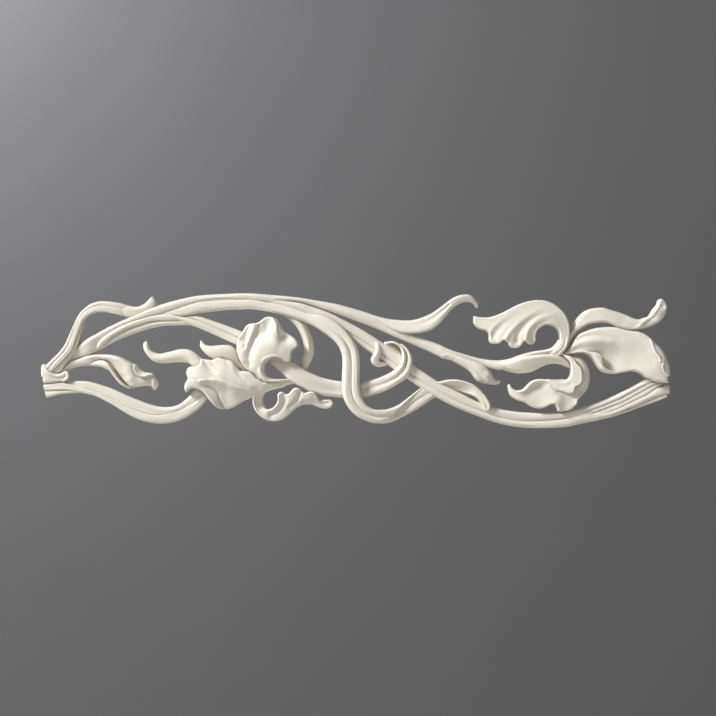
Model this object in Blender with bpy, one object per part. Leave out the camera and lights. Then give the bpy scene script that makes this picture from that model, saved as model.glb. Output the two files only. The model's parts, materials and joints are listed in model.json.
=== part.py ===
"""Openwork floral moulding, cast in one piece in rigid polyurethane.

The moulding lies flat against a wall. X runs along its length, +Z is up, and the wall plane is y = 0, so
the relief rises towards -Y. The origin is on the back, in the middle of the length. Every stem, leaf and
petal is a closed loft over ribs, from behind the wall plane up to its own crest. The lofts are united,
and one block makes the flat back and the square ends. Sizes below are in millimetres.
"""

import math

import bmesh
import bpy
from mathutils import Vector

MM = 0.001

LENGTH = 1000.0
DEPTH_LIMIT = 60.0
HALF_HEIGHT_LIMIT = 150.0
STEM_SPACING = 15.0
BLADE_SPACING = 14.0
BACK_ALLOWANCE = 4.0
BACK_STAGGER = 0.23
CAP_HUB_SHARE = 0.3

PAINT_COLOUR = (0.80, 0.77, 0.71, 1.0)
PAINT_ROUGHNESS = 0.55

# Section outlines, from one edge of a rib to the other: (share of the width, share of the rise).
ROUND = ((0.0, 0.40), (0.12, 0.78), (0.5, 1.0), (0.88, 0.78), (1.0, 0.40))
PAIR = ((0.0, 0.40), (0.09, 0.80), (0.27, 1.0), (0.5, 0.76), (0.73, 1.0), (0.91, 0.80), (1.0, 0.40))
DOME = ((0.0, 0.45), (0.08, 0.68), (0.30, 0.93), (0.55, 1.0), (0.80, 0.87), (0.94, 0.66), (1.0, 0.45))
CUP = ((0.0, 0.70), (0.09, 1.0), (0.32, 0.68), (0.68, 0.68), (0.92, 1.0), (1.0, 0.75))
SHELF = ((0.0, 0.45), (0.12, 0.85), (0.34, 1.0), (0.60, 0.78), (0.90, 0.74), (1.0, 0.45))


def curve_between(before, start, end, after, share):
    """One row of a Catmull-Rom curve between two rows."""
    row = []
    for a, b, c, d in zip(before, start, end, after):
        cubic = -a + 3.0 * b - 3.0 * c + d
        square = 2.0 * a - 5.0 * b + 4.0 * c - d
        row.append(0.5 * (2.0 * b + (c - a) * share + square * share ** 2 + cubic * share ** 3))
    return row


def smooth_run(rows, spacing):
    """Rows that start with x and z, joined by a smooth curve and read about every `spacing`."""
    first = [2.0 * a - b for a, b in zip(rows[0], rows[1])]
    last = [2.0 * a - b for a, b in zip(rows[-1], rows[-2])]
    padded = [first, *rows, last]
    run = []
    for index in range(1, len(rows)):
        span = math.dist(rows[index - 1][:2], rows[index][:2])
        steps = max(1, round(span / spacing))
        for step in range(steps):
            run.append(curve_between(*padded[index - 1:index + 3], step / steps))
    run.append(list(rows[-1]))
    return run


def stem(name, section, stations):
    """A stem along its middle line: (x, z, width, rise) for each station, ribs square to the line."""
    run = smooth_run(stations, STEM_SPACING)
    ribs = []
    for index, (x, z, width, rise) in enumerate(run):
        ahead = run[min(index + 1, len(run) - 1)]
        behind = run[max(index - 1, 0)]
        along = Vector((ahead[0] - behind[0], ahead[1] - behind[1])).normalized()
        side = Vector((-along.y, along.x)) * width / 2.0
        ribs.append((x + side.x, z + side.y, x - side.x, z - side.y, rise))
    return name, section, ribs


def blade(name, section, ribs):
    """A leaf or petal between two edges: (x, z of one edge, x, z of the other edge, rise) for each rib."""
    rows = [((a + c) / 2.0, (b + d) / 2.0, a, b, c, d, rise) for a, b, c, d, rise in ribs]
    return name, section, [row[2:] for row in smooth_run(rows, BLADE_SPACING)]


def left_stems():
    """The stems that spring from the left end and arch over the middle."""
    return [
        stem("arch", ROUND, (
            (-468, -6, 18, 13), (-436, 16, 19, 15), (-398, 41, 19, 17), (-361, 57, 18, 18),
            (-322, 71, 17, 19), (-285, 82, 19, 20), (-234, 95, 17, 20), (-174, 99, 15, 20),
            (-125, 95, 17, 20), (-88, 86, 18, 20), (-52, 74, 14, 19), (-20, 56, 13, 17),
            (0, 42, 11, 15))),
        stem("under_strand", ROUND, (
            (-300, 71, 12, 15), (-270, 75, 13, 17), (-234, 84, 16, 18), (-172, 87, 16, 18),
            (-130, 81, 17, 18), (-100, 72, 18, 18), (-74, 63, 18, 18))),
        stem("inner_branch", PAIR, (
            (-452, 1, 14, 12), (-410, 20, 17, 14), (-376, 38, 18, 16), (-345, 52, 18, 17),
            (-315, 61, 17, 17), (-285, 63, 16, 17), (-257, 62, 17, 17), (-234, 54, 20, 17),
            (-208, 43, 23, 18), (-180, 30, 24, 20), (-162, 20, 22, 20))),
        stem("lower_stem", PAIR, (
            (-510, -48, 22, 14), (-468, -44, 20, 15), (-436, -43, 18, 16), (-405, -51, 20, 17),
            (-378, -63, 22, 18), (-349, -78, 26, 18), (-315, -88, 27, 18), (-284, -85, 27, 18),
            (-260, -71, 28, 18), (-240, -52, 26, 18), (-226, -34, 22, 18))),
    ]


def left_leaves():
    """The bract that ties the left end, the looped leaf above it and the folded leaf inside."""
    return [
        blade("end_bract", DOME, (
            (-512, -18, -512, -44, 16), (-500, -12, -500, -43, 18), (-494, -8, -494, -42, 18),
            (-487, -11, -487, -41, 18), (-478, -19, -478, -40, 18), (-466, -19, -466, -39, 16),
            (-459, -21, -459, -33, 14))),
        blade("looped_leaf", ROUND, (
            (-494, -12, -478, -26, 15), (-485, -1, -466, -13, 18), (-473, 12, -455, 2, 20),
            (-461, 32, -441, 20, 21), (-449, 56, -434, 46, 21), (-436, 75, -425, 66, 21),
            (-421, 88, -411, 75, 21), (-400, 94, -397, 76, 21), (-377, 90, -378, 70, 21),
            (-357, 84, -357, 64, 20), (-343, 84, -339, 64, 19), (-333, 89, -321, 74, 17),
            (-328, 97, -317, 86, 14), (-325, 100, -319, 94, 11))),
        blade("folded_leaf", SHELF, (
            (-478, -22, -468, -8, 14), (-449, -12, -448, 1, 16), (-424, -10, -424, 7, 18),
            (-405, -12, -402, 9, 20), (-388, -24, -382, 8, 22), (-377, -38, -367, -2, 24),
            (-360, -45, -352, -9, 25), (-342, -43, -336, -18, 24), (-326, -41, -324, -22, 21),
            (-320, -47, -316, -33, 15))),
    ]


def left_flower():
    """The flower left of the middle: hood, throat, two tendrils and the large falling petal."""
    return [
        stem("long_tendril", ROUND, (
            (-332, 29, 4, 8), (-333, 19, 8, 12), (-325, 8, 12, 14), (-310, 4, 15, 16),
            (-292, 4, 18, 18), (-272, 5, 20, 19), (-256, 0, 20, 20), (-240, -14, 22, 20))),
        blade("short_tendril", ROUND, (
            (-249, 30, -243, 31, 8), (-246, 18, -234, 23, 14), (-234, 8, -221, 23, 17),
            (-216, 3, -206, 23, 19), (-200, -3, -190, 17, 20), (-186, -16, -174, 0, 20))),
        blade("falling_petal", CUP, (
            (-273, -38, -268, -50, 20), (-269, -22, -255, -46, 28), (-258, -10, -246, -48, 32),
            (-246, -3, -237, -56, 34), (-233, 1, -229, -68, 35), (-217, 4, -214, -77, 36),
            (-201, 0, -199, -78, 35), (-189, -12, -186, -73, 33), (-174, -17, -169, -62, 30),
            (-156, -26, -148, -54, 25), (-136, -30, -128, -46, 21), (-116, -32, -106, -40, 18))),
        blade("hood", DOME, (
            (-150, 64, -130, 67, 26), (-168, 57, -122, 60, 32), (-178, 47, -116, 48, 36),
            (-184, 38, -101, 40, 38), (-189, 29, -93, 30, 38), (-190, 17, -99, 18, 38),
            (-187, 7, -104, 7, 36))),
        blade("hood_cheek", DOME, (
            (-188, 14, -142, 14, 36), (-186, 4, -144, 4, 35), (-182, -5, -151, -4, 33),
            (-175, -15, -155, -14, 31), (-166, -24, -154, -24, 28), (-158, -32, -150, -32, 24))),
        blade("hood_lobe", DOME, (
            (-128, 12, -101, 12, 35), (-121, 4, -103, 4, 33), (-115, -3, -106, -3, 27))),
        stem("throat_lip", ROUND, (
            (-148, 4, 9, 30), (-154, -8, 10, 30), (-153, -21, 11, 30), (-144, -31, 11, 29),
            (-130, -34, 11, 28), (-112, -35, 12, 24), (-98, -38, 10, 18))),
        blade("scroll_leaf", CUP, (
            (-166, -48, -146, -48, 16), (-164, -64, -149, -62, 18), (-160, -79, -146, -73, 20),
            (-150, -90, -140, -78, 21), (-137, -97, -133, -77, 22), (-124, -97, -126, -68, 23),
            (-112, -91, -122, -54, 24), (-103, -83, -111, -53, 24), (-96, -77, -99, -45, 24),
            (-88, -72, -91, -47, 23), (-80, -70, -81, -52, 22), (-68, -72, -70, -50, 22),
            (-57, -76, -60, -60, 20), (-46, -77, -47, -63, 18), (-38, -72, -39, -65, 14))),
    ]


def middle_straps():
    """The strap out of the throat, its ring, the ribbon over it and the strap that crosses them."""
    return [
        stem("loop_stem", ROUND, (
            (-114, 76, 12, 16), (-96, 62, 13, 17), (-82, 47, 14, 18), (-75, 30, 15, 18),
            (-75, 13, 15, 17), (-80, -7, 14, 15), (-90, -24, 13, 13))),
        blade("throat_strap", PAIR, (
            (-146, -3, -122, 20, 20), (-129, -15, -110, 5, 22), (-106, -31, -90, -7, 23),
            (-88, -41, -74, -16, 22), (-68, -50, -58, -24, 21), (-45, -56, -38, -31, 19),
            (-20, -60, -16, -36, 17), (2, -60, 4, -36, 17))),
        stem("ring", PAIR, (
            (-22, -47, 25, 17), (12, -47, 25, 17), (40, -40, 25, 19), (62, -28, 24, 22),
            (77, -13, 20, 25), (82, 2, 17, 26), (76, 16, 14, 24), (64, 25, 12, 21), (50, 26, 10, 17),
            (40, 19, 9, 13))),
        blade("ribbon", PAIR, (
            (-96, 63, -94, 80, 19), (-74, 57, -72, 76, 20), (-57, 52, -50, 70, 22),
            (-42, 40, -32, 61, 25), (-30, 24, -14, 45, 28), (-23, 6, 2, 21, 30),
            (-21, -14, 7, -8, 31), (-22, -40, 6, -36, 30), (-19, -64, 10, -55, 28),
            (-8, -81, 18, -68, 26), (10, -94, 27, -75, 24), (31, -100, 38, -78, 22),
            (54, -99, 54, -78, 21), (76, -90, 71, -71, 20), (100, -75, 92, -55, 19),
            (126, -59, 114, -42, 16))),
        stem("crossing_strap", PAIR, (
            (-38, 68, 12, 16), (-16, 52, 16, 17), (8, 36, 23, 18), (34, 19, 22, 18), (66, -2, 22, 18),
            (97, -26, 23, 19), (130, -46, 24, 20), (165, -66, 26, 20), (205, -83, 25, 20),
            (250, -93, 25, 20), (290, -96, 24, 20), (335, -92, 25, 20), (387, -80, 27, 20),
            (425, -64, 24, 18))),
        stem("small_hook", ROUND, (
            (30, 26, 6, 12), (33, 14, 9, 15), (31, 3, 12, 17), (36, -5, 11, 17), (50, -10, 9, 15))),
        blade("hooked_leaf", CUP, (
            (112, -44, 124, -54, 14), (138, -34, 145, -44, 18), (161, -31, 161, -46, 22),
            (178, -35, 176, -53, 24), (192, -43, 187, -60, 25), (204, -54, 195, -67, 26),
            (213, -68, 201, -76, 25), (213, -77, 205, -83, 21))),
    ]


def upper_branch():
    """The branch that leaves the arch, its swan-necked leaf and the closed bud."""
    return [
        stem("upper_branch", ROUND, (
            (-128, 98, 8, 15), (-92, 96, 9, 17), (-57, 90, 11, 18), (-30, 82, 14, 19),
            (-2, 71, 16, 19), (26, 61, 18, 19), (54, 50, 18, 19), (82, 37, 18, 18),
            (108, 26, 18, 18), (130, 17, 17, 18), (146, 11, 17, 19))),
        blade("swan_leaf", ROUND, (
            (20, 70, 26, 55, 17), (40, 67, 46, 52, 19), (62, 64, 66, 44, 20), (86, 63, 88, 42, 21),
            (103, 68, 112, 46, 22), (122, 78, 130, 56, 23), (143, 93, 149, 77, 23),
            (164, 103, 165, 90, 21), (180, 104, 179, 92, 18), (190, 97, 186, 88, 14),
            (195, 88, 190, 84, 9))),
        blade("bud", DOME, (
            (138, 23, 136, 3, 19), (156, 17, 158, -2, 23), (176, 10, 174, -12, 25),
            (196, 4, 186, -24, 26), (210, -8, 196, -33, 25), (218, -20, 211, -37, 22),
            (224, -27, 221, -38, 15), (230, -31, 228, -36, 9))),
    ]


def right_flower():
    """The large flower at the right end: calyx and four petals."""
    return [
        blade("calyx", DOME, (
            (170, 12, 174, 0, 20), (200, 3, 202, -8, 21), (228, 1, 227, -15, 22),
            (252, 6, 250, -20, 25), (276, 13, 273, -20, 28), (300, 18, 300, -9, 30),
            (320, 20, 322, -8, 30), (344, 18, 340, -12, 28))),
        blade("shell_petal", DOME, (
            (186, 70, 186, 63, 20), (195, 69, 190, 54, 23), (204, 68, 198, 50, 25),
            (214, 69, 208, 46, 27), (222, 71, 212, 33, 29), (229, 74, 221, 26, 30),
            (237, 78, 231, 29, 32), (244, 81, 237, 33, 33), (251, 85, 243, 26, 33),
            (259, 89, 252, 20, 34), (267, 92, 261, 22, 35), (275, 94, 270, 31, 35),
            (284, 95, 280, 25, 35), (294, 95, 287, 33, 35), (306, 93, 290, 46, 34),
            (318, 87, 298, 54, 33), (329, 77, 308, 56, 32), (337, 64, 318, 52, 31),
            (340, 49, 323, 42, 30), (339, 34, 322, 32, 29), (335, 21, 316, 24, 28),
            (328, 8, 306, 16, 27))),
        blade("top_petal", ROUND, (
            (334, 40, 346, 30, 28), (346, 57, 357, 46, 29), (362, 74, 372, 55, 29),
            (382, 83, 386, 59, 28), (402, 83, 400, 57, 27), (424, 74, 419, 50, 26),
            (446, 66, 444, 47, 26), (468, 71, 468, 52, 27), (475, 82, 488, 65, 28),
            (480, 90, 495, 78, 26), (485, 97, 494, 90, 22))),
        blade("end_petal", CUP, (
            (334, 33, 334, 11, 30), (356, 44, 356, 9, 34), (376, 51, 378, 0, 36),
            (400, 54, 396, -20, 37), (424, 50, 418, -23, 36), (448, 45, 442, -18, 35),
            (470, 34, 462, -26, 35), (487, 14, 478, -35, 33), (500, -10, 494, -38, 30),
            (510, -26, 508, -40, 26))),
        blade("curled_petal", DOME, (
            (326, 12, 352, 10, 28), (333, -10, 366, -6, 30), (333, -28, 373, -24, 30),
            (322, -35, 371, -42, 29), (306, -32, 358, -60, 28), (293, -29, 348, -76, 26),
            (282, -33, 316, -76, 25), (272, -42, 286, -77, 24), (262, -48, 268, -69, 22),
            (252, -47, 250, -62, 18), (245, -40, 242, -50, 12))),
        blade("curled_foot", ROUND, (
            (362, -52, 352, -50, 22), (354, -66, 334, -64, 20), (350, -84, 324, -84, 18))),
        stem("end_upper", ROUND, (
            (380, -76, 14, 18), (410, -63, 15, 18), (433, -51, 16, 18), (460, -36, 16, 18),
            (486, -27, 14, 18))),
        stem("end_lower", PAIR, (
            (380, -86, 14, 18), (410, -77, 18, 19), (440, -66, 20, 19), (472, -55, 20, 18),
            (508, -48, 18, 17))),
    ]


def loft(name, section, ribs, back):
    """A closed solid over the ribs, from `back` behind the wall plane up to the section's outline."""
    shape = bmesh.new()
    rings = []
    for x_one, z_one, x_two, z_two, rise in ribs:
        outline = [
            (x_one + (x_two - x_one) * across, -rise * up, z_one + (z_two - z_one) * across)
            for across, up in section]
        outline += [(x_two, back, z_two), (x_one, back, z_one)]
        rings.append([shape.verts.new(Vector(corner) * MM) for corner in outline])
    corners = len(rings[0])
    for ring, after in zip(rings, rings[1:]):
        for corner in range(corners):
            following = (corner + 1) % corners
            shape.faces.new((ring[corner], ring[following], after[following], after[corner]))
    for ring, (x_one, z_one, x_two, z_two, rise) in ((rings[0], ribs[0]), (rings[-1], ribs[-1])):
        middle = ((x_one + x_two) / 2.0, -rise * CAP_HUB_SHARE, (z_one + z_two) / 2.0)
        hub = shape.verts.new(Vector(middle) * MM)
        for corner in range(corners):
            shape.faces.new((ring[corner], ring[(corner + 1) % corners], hub))
    bmesh.ops.triangulate(shape, faces=shape.faces)
    bmesh.ops.recalc_face_normals(shape, faces=shape.faces)
    return finished_object(name, shape)


def casting_block():
    """The room that the casting may fill: a flat wall side and square ends."""
    shape = bmesh.new()
    bmesh.ops.create_cube(shape, size=1.0)
    size = Vector((LENGTH, DEPTH_LIMIT, 2.0 * HALF_HEIGHT_LIMIT)) * MM
    bmesh.ops.scale(shape, vec=size, verts=shape.verts)
    bmesh.ops.translate(shape, vec=(0.0, -DEPTH_LIMIT / 2.0 * MM, 0.0), verts=shape.verts)
    return finished_object("casting_block", shape)


def finished_object(name, shape):
    """An object that holds the built shape."""
    mesh = bpy.data.meshes.new(name)
    shape.to_mesh(mesh)
    shape.free()
    return bpy.data.objects.new(name, mesh)


def as_guide(guide):
    """Marks an object that only shapes another one."""
    guide.hide_render = True
    guide.display_type = "WIRE"


def polyurethane():
    """Off-white primed polyurethane."""
    material = bpy.data.materials.new("primed_polyurethane")
    material.use_nodes = True
    shader = material.node_tree.nodes["Principled BSDF"]
    shader.inputs["Base Color"].default_value = PAINT_COLOUR
    shader.inputs["Roughness"].default_value = PAINT_ROUGHNESS
    shader.inputs["Metallic"].default_value = 0.0
    return material


def main():
    for leftover in list(bpy.data.objects):
        bpy.data.objects.remove(leftover)

    scene = bpy.context.scene.collection
    guides = bpy.data.collections.new("lofts")
    scene.children.link(guides)

    shapes = left_stems() + left_leaves() + left_flower() + middle_straps() + upper_branch() + right_flower()
    lofts = [
        loft(name, section, ribs, BACK_ALLOWANCE + BACK_STAGGER * place)
        for place, (name, section, ribs) in enumerate(shapes)]

    moulding = lofts[0]
    moulding.name = "moulding"
    moulding.data.materials.append(polyurethane())
    scene.objects.link(moulding)
    for guide in lofts[1:]:
        as_guide(guide)
        guides.objects.link(guide)

    block = casting_block()
    as_guide(block)
    scene.objects.link(block)

    union = moulding.modifiers.new("one_casting", "BOOLEAN")
    union.operation = "UNION"
    union.operand_type = "COLLECTION"
    union.collection = guides
    union.solver = "EXACT"

    trim = moulding.modifiers.new("flat_back_and_ends", "BOOLEAN")
    trim.operation = "INTERSECT"
    trim.object = block
    trim.solver = "EXACT"


main()
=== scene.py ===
import json
import math

import bmesh
import bpy
import numpy as np
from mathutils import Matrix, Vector
from mathutils.bvhtree import BVHTree
from mathutils.geometry import delaunay_2d_cdt

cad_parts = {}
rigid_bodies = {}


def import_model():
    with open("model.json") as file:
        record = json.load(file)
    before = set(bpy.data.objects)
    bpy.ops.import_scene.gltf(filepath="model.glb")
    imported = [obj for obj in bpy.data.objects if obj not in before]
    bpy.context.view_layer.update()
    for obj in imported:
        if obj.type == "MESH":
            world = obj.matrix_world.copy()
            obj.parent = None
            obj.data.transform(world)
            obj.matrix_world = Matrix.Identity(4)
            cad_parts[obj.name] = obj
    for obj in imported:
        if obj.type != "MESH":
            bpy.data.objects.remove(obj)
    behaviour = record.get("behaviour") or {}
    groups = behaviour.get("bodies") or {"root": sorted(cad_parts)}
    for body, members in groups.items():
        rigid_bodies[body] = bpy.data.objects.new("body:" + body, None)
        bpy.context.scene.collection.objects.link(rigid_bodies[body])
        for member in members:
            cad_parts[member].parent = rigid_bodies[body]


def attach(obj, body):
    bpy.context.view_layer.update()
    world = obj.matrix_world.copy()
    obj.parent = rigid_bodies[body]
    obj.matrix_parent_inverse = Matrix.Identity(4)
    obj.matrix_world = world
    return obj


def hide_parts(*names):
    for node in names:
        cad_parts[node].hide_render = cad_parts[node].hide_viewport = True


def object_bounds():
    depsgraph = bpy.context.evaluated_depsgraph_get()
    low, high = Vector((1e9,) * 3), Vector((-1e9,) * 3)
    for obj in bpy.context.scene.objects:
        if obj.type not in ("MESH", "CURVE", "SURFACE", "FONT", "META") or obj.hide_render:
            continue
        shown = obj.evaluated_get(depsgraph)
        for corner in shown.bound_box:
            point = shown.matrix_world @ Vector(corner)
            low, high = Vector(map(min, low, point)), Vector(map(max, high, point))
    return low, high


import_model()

CAD_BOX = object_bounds()

bl_info = {
    "name": "Openwork Flower Frieze",
    "version": (1, 0, 0),
    "blender": (4, 5, 0),
    "location": "View3D > Sidebar > Frieze",
    "description": "Models a cast frieze of whiplash stems, leaves and flowers on a flat back",
    "category": "Object",
}

# ---------------------------------------------------------------------------
# The model's drawing, in millimetres. X runs along the frieze and Z up it; the
# relief stands out of the wall towards -Y.
#
# A strand is (name, section, lean, ribs). Each rib is (x, z) of its first edge,
# (x, z) of its second edge, and the height of the crest between them. The section
# is how much of that height is left at the first edge and at the second, and how
# round the top is (0 is level, 1 is a full dome). The lean moves the crest
# towards the first edge (-) or the second (+).
#
# A plate is (name, wall share, edge radius, rim, outline, spots, creases). The
# wall share is how much of the height is left at the outline; the rim is
# (height, distance in from the outline, width). Spots are (x, z, height) that
# the surface passes near. A crease is (height at its start, height at its end,
# width at its start, width at its end, line); a negative height is a groove. An
# outline point given twice is a sharp corner.
# ---------------------------------------------------------------------------
LEFT_STEMS_STRANDS = (
    ("crest_strand", (0.68, 0.86, 0.5), 0, (
        (-413, 41.5, -408.5, 35, 15), (-400, 48.5, -395.5, 41.5, 17), (-374.5, 61, -372, 54, 19),
        (-342.5, 75, -341, 66, 19.5), (-311, 87.5, -309.5, 74.5, 20), (-279, 96.5, -277.5, 84, 20),
        (-247.5, 102.5, -247.5, 92, 20), (-208, 105, -208, 95, 20), (-174.5, 106, -174.5, 96, 20),
        (-146, 104.5, -146, 93.5, 20), (-117.5, 101.5, -119, 88, 18), (-105, 100, -108, 86.5, 16),
        (-89, 97.5, -95.5, 86, 13))),
    ("branch_strand", (0.68, 0.74, 0.5), 0, (
        (-146, 102.5, -144.5, 97, 15), (-133.5, 103, -131.5, 95.5, 19), (-117.5, 102, -116, 95, 20.5),
        (-89, 99, -89.5, 92.5, 20.5), (-65, 95, -66.5, 86, 20), (-33.5, 89.5, -38, 76, 20),
        (-1.5, 81, -6.5, 64.5, 20), (30, 70.5, 25.5, 52.5, 19.5), (58.5, 54, 54, 40.5, 18.5),
        (87.5, 41.5, 82.5, 27.5, 18), (117.5, 30.5, 112.5, 15, 18.5), (130, 25.5, 125, 9, 19),
        (137, 22.5, 132, 6, 20), (144.5, 18.5, 139, 3, 20), (154, 13.5, 148.5, 0, 17.5),
        (165.5, 8.5, 160.5, -3, 13))),
    ("second_strand", (0.68, 0.86, 0.3), 0, (
        (-149.5, 95.5, -151, 92, 14), (-133.5, 95, -135, 90, 18), (-120.5, 94.5, -122, 87, 19),
        (-92, 92, -95, 80, 19.5), (-71.5, 85.5, -75.5, 73, 19), (-43, 75.5, -50, 64.5, 18.5),
        (-16, 62, -24, 51, 18), (14.5, 45.5, 5.5, 34, 18.5), (43, 27, 33.5, 16, 18.5),
        (71.5, 7, 62, -5, 18.5), (101.5, -14.5, 92, -25.5, 19), (131.5, -35, 123.5, -44, 20),
        (165, -52, 159.5, -64, 20), (196.5, -67.5, 192, -78, 20), (236.5, -79.5, 235, -92, 20),
        (277.5, -84, 277.5, -97, 20), (323.5, -84, 323.5, -93.5, 19.5), (344.5, -79, 344.5, -89.5, 19),
        (363.5, -75, 365, -84, 18))),
    ("under_strand", (0.88, 0.62, 0.35), 0, (
        (-333.5, 70.5, -332, 66.5, 14), (-319, 75, -317, 68.5, 16), (-305, 78, -301.5, 69.5, 17.5),
        (-292, 80, -289, 69, 18.5), (-277.5, 84.5, -276, 69, 19), (-263.5, 89, -262, 71.5, 19.5),
        (-247.5, 92.5, -247.5, 74.5, 20), (-208, 95.5, -208, 79.5, 20), (-184, 96, -184, 80.5, 20),
        (-165, 96, -166.5, 81, 20), (-135, 90.5, -139.5, 77, 20), (-104.5, 83.5, -112.5, 69.5, 21),
        (-76, 73.5, -84, 60.5, 22), (-62, 67.5, -71.5, 55.5, 23.5), (-47.5, 59.5, -57, 47, 25.5),
        (-33, 48, -41, 35.5, 27), (-22, 35.5, -31, 26, 28.5), (-13, 22, -25, 16, 29.5),
        (-8, 8, -22, 5, 30), (-6.5, -5, -21.5, -6.5, 30), (-6.5, -18, -22, -19, 30),
        (-6.5, -33, -22.5, -33, 30), (-6.5, -48, -22.5, -47.5, 30), (-4.5, -57, -20, -60, 29.5),
        (-1, -65.5, -15, -71, 29), (5, -73.5, -7, -82, 28), (12.5, -81, 3, -90.5, 27),
        (22, -86.5, 15, -96.5, 26), (31.5, -89.5, 27, -100, 25), (42, -90.5, 39, -100.5, 24),
        (50.5, -88, 45, -100, 22.5), (58, -87.5, 52.5, -98.5, 20.5), (63.5, -85.5, 58.5, -95.5, 17),
        (69, -82, 65, -91.5, 12))),
    ("inner_top_strand", (0.64, 0.86, 0.35), 0, (
        (-414, 20.5, -409.5, 16, 15.5), (-408.5, 29.5, -402.5, 22.5, 18), (-400, 37.5, -395, 30, 18.5),
        (-390.5, 44.5, -385.5, 37.5, 19.5), (-374.5, 53.5, -371, 46, 20), (-358.5, 60.5, -355.5, 52.5, 20),
        (-327, 70, -325, 61, 20), (-311, 72.5, -310, 62.5, 20), (-295, 73, -295, 62.5, 20),
        (-279.5, 70, -279.5, 62, 19), (-257, 64.5, -260.5, 55, 19), (-228.5, 54, -235, 44.5, 19),
        (-197, 40, -203, 30, 19.5), (-179.5, 32.5, -185.5, 22, 20))),
    ("inner_low_strand", (0.88, 0.66, 0.3), 0, (
        (-413.5, 16.5, -412, 14, 12), (-402, 24.5, -399, 21, 14.5), (-394, 31, -389, 26.5, 15.5),
        (-384.5, 38, -378, 32, 16), (-371.5, 46, -367, 37, 16.5), (-341.5, 57.5, -338, 47, 17.5),
        (-310.5, 62.5, -309.5, 54, 17.5), (-279.5, 62, -279.5, 55.5, 17.5), (-268.5, 61, -268.5, 55.5, 17),
        (-259, 59, -259, 54, 14))),
    ("inner_back_strand", (0.62, 0.56, 0.6), 0, (
        (-283, 67.5, -281.5, 63, 13), (-268.5, 70.5, -268.5, 65, 15.5), (-257.5, 71, -259, 63.5, 16.5),
        (-246, 69, -249, 59.5, 17.5), (-232, 64, -236.5, 53.5, 18), (-197, 51.5, -203, 39, 18.5),
        (-179.5, 44.5, -185.5, 31, 19.5))),
    ("lower_edge_strand", (0.72, 0.92, 0.15), 0, (
        (-476, -37, -476, -39, 9), (-462.5, -35.5, -462.5, -39, 13), (-449.5, -33.5, -449.5, -41, 15.5),
        (-436.5, -33.5, -436.5, -44, 16.5), (-422.5, -35, -423, -47, 17), (-390.5, -45, -395.5, -58.5, 17.5),
        (-358.5, -59, -365, -73.5, 18), (-327, -71, -332, -85.5, 18), (-311, -74.5, -312.5, -87.5, 18),
        (-295, -74.5, -295, -85.5, 18), (-281, -70.5, -278.5, -80, 18), (-268.5, -61, -262, -71, 18),
        (-259.5, -51.5, -249, -61, 18), (-252.5, -41.5, -240, -51, 17), (-248, -32, -233.5, -39.5, 15))),
    ("lower_main_strand", (0.92, 0.7, 0.15), 0, (
        (-497, -39.5, -494.5, -49.5, 15), (-486, -38, -484.5, -49, 16), (-473, -36.5, -471.5, -48.5, 17),
        (-460.5, -37, -459, -48.5, 17.5), (-435, -43.5, -435, -52.5, 17.5), (-409.5, -52, -413, -58, 17.5),
        (-381, -65.5, -389, -70, 18), (-365, -73.5, -372, -80.5, 18), (-348.5, -80, -357, -89.5, 18),
        (-331.5, -85.5, -338, -97, 18.5), (-312.5, -87.5, -314.5, -101, 18.5), (-295, -85, -293, -99.5, 18.5),
        (-278.5, -80, -273, -93, 18.5), (-262, -70.5, -253, -80, 18.5), (-249, -61, -240.5, -66.5, 18.5),
        (-241.5, -49, -232, -52.5, 17.5), (-236.5, -38, -227, -39.5, 15))),
    ("lower_under_strand", (0.85, 0.66, 0.3), 0, (
        (-494.5, -49.5, -492, -60, 14.5), (-484.5, -49.5, -483, -57.5, 15), (-472, -49, -470, -54.5, 15.5),
        (-446.5, -48.5, -444.5, -52.5, 16), (-432, -50, -432, -52.5, 15))),
    ("loop_stem", (0.55, 0.5, 0.9), 0, (
        (-127.5, 81, -105, 76.5, 10), (-116, 70.5, -94, 67.5, 14), (-105, 62.5, -83.5, 60.5, 16),
        (-96, 54, -76.5, 51, 17), (-89.5, 43.5, -71.5, 40.5, 18), (-85.5, 33.5, -68.5, 31, 18),
        (-83, 22, -67, 21.5, 18), (-82.5, 12.5, -67, 12, 18), (-84.5, 5, -69.5, 2.5, 17),
        (-87.5, -3, -73.5, -6.5, 15), (-91.5, -11, -78.5, -16.5, 13), (-97, -19, -86, -27, 11))),
    ("long_tendril", (0.62, 0.62, 0.6), 0, (
        (-334.5, 30.5, -332.5, 30.5, 6), (-338, 27.5, -330.5, 27, 10), (-338.5, 21.5, -329.5, 22, 14),
        (-336.5, 14.5, -325.5, 15.5, 16), (-331, 6.5, -319, 11.5, 17), (-323, -1.5, -311, 10, 18),
        (-312.5, -5, -301.5, 12, 18.5), (-300, -5, -291, 14.5, 19), (-285.5, -3.5, -281.5, 17, 19),
        (-274.5, -3.5, -271.5, 17.5, 19), (-266.5, -5, -262, 15, 19.5), (-260, -9.5, -252.5, 8.5, 20),
        (-252.5, -17.5, -241, -1, 19))),
    ("short_tendril", (0.6, 0.66, 0.6), 0, (
        (-247.5, 31, -245.5, 31, 6), (-248.5, 25.5, -243.5, 28, 10), (-247, 19, -238.5, 24, 14),
        (-242, 12.5, -232, 22.5, 16), (-233.5, 5.5, -222.5, 23, 17.5), (-220.5, 1, -209.5, 24, 17.5),
        (-206.5, -3, -197, 22, 16), (-197, -9.5, -188, 12.5, 13), (-189.5, -16.5, -181.5, 0, 10.5),
        (-183, -20.5, -173.5, -12.5, 9))),
)
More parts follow.
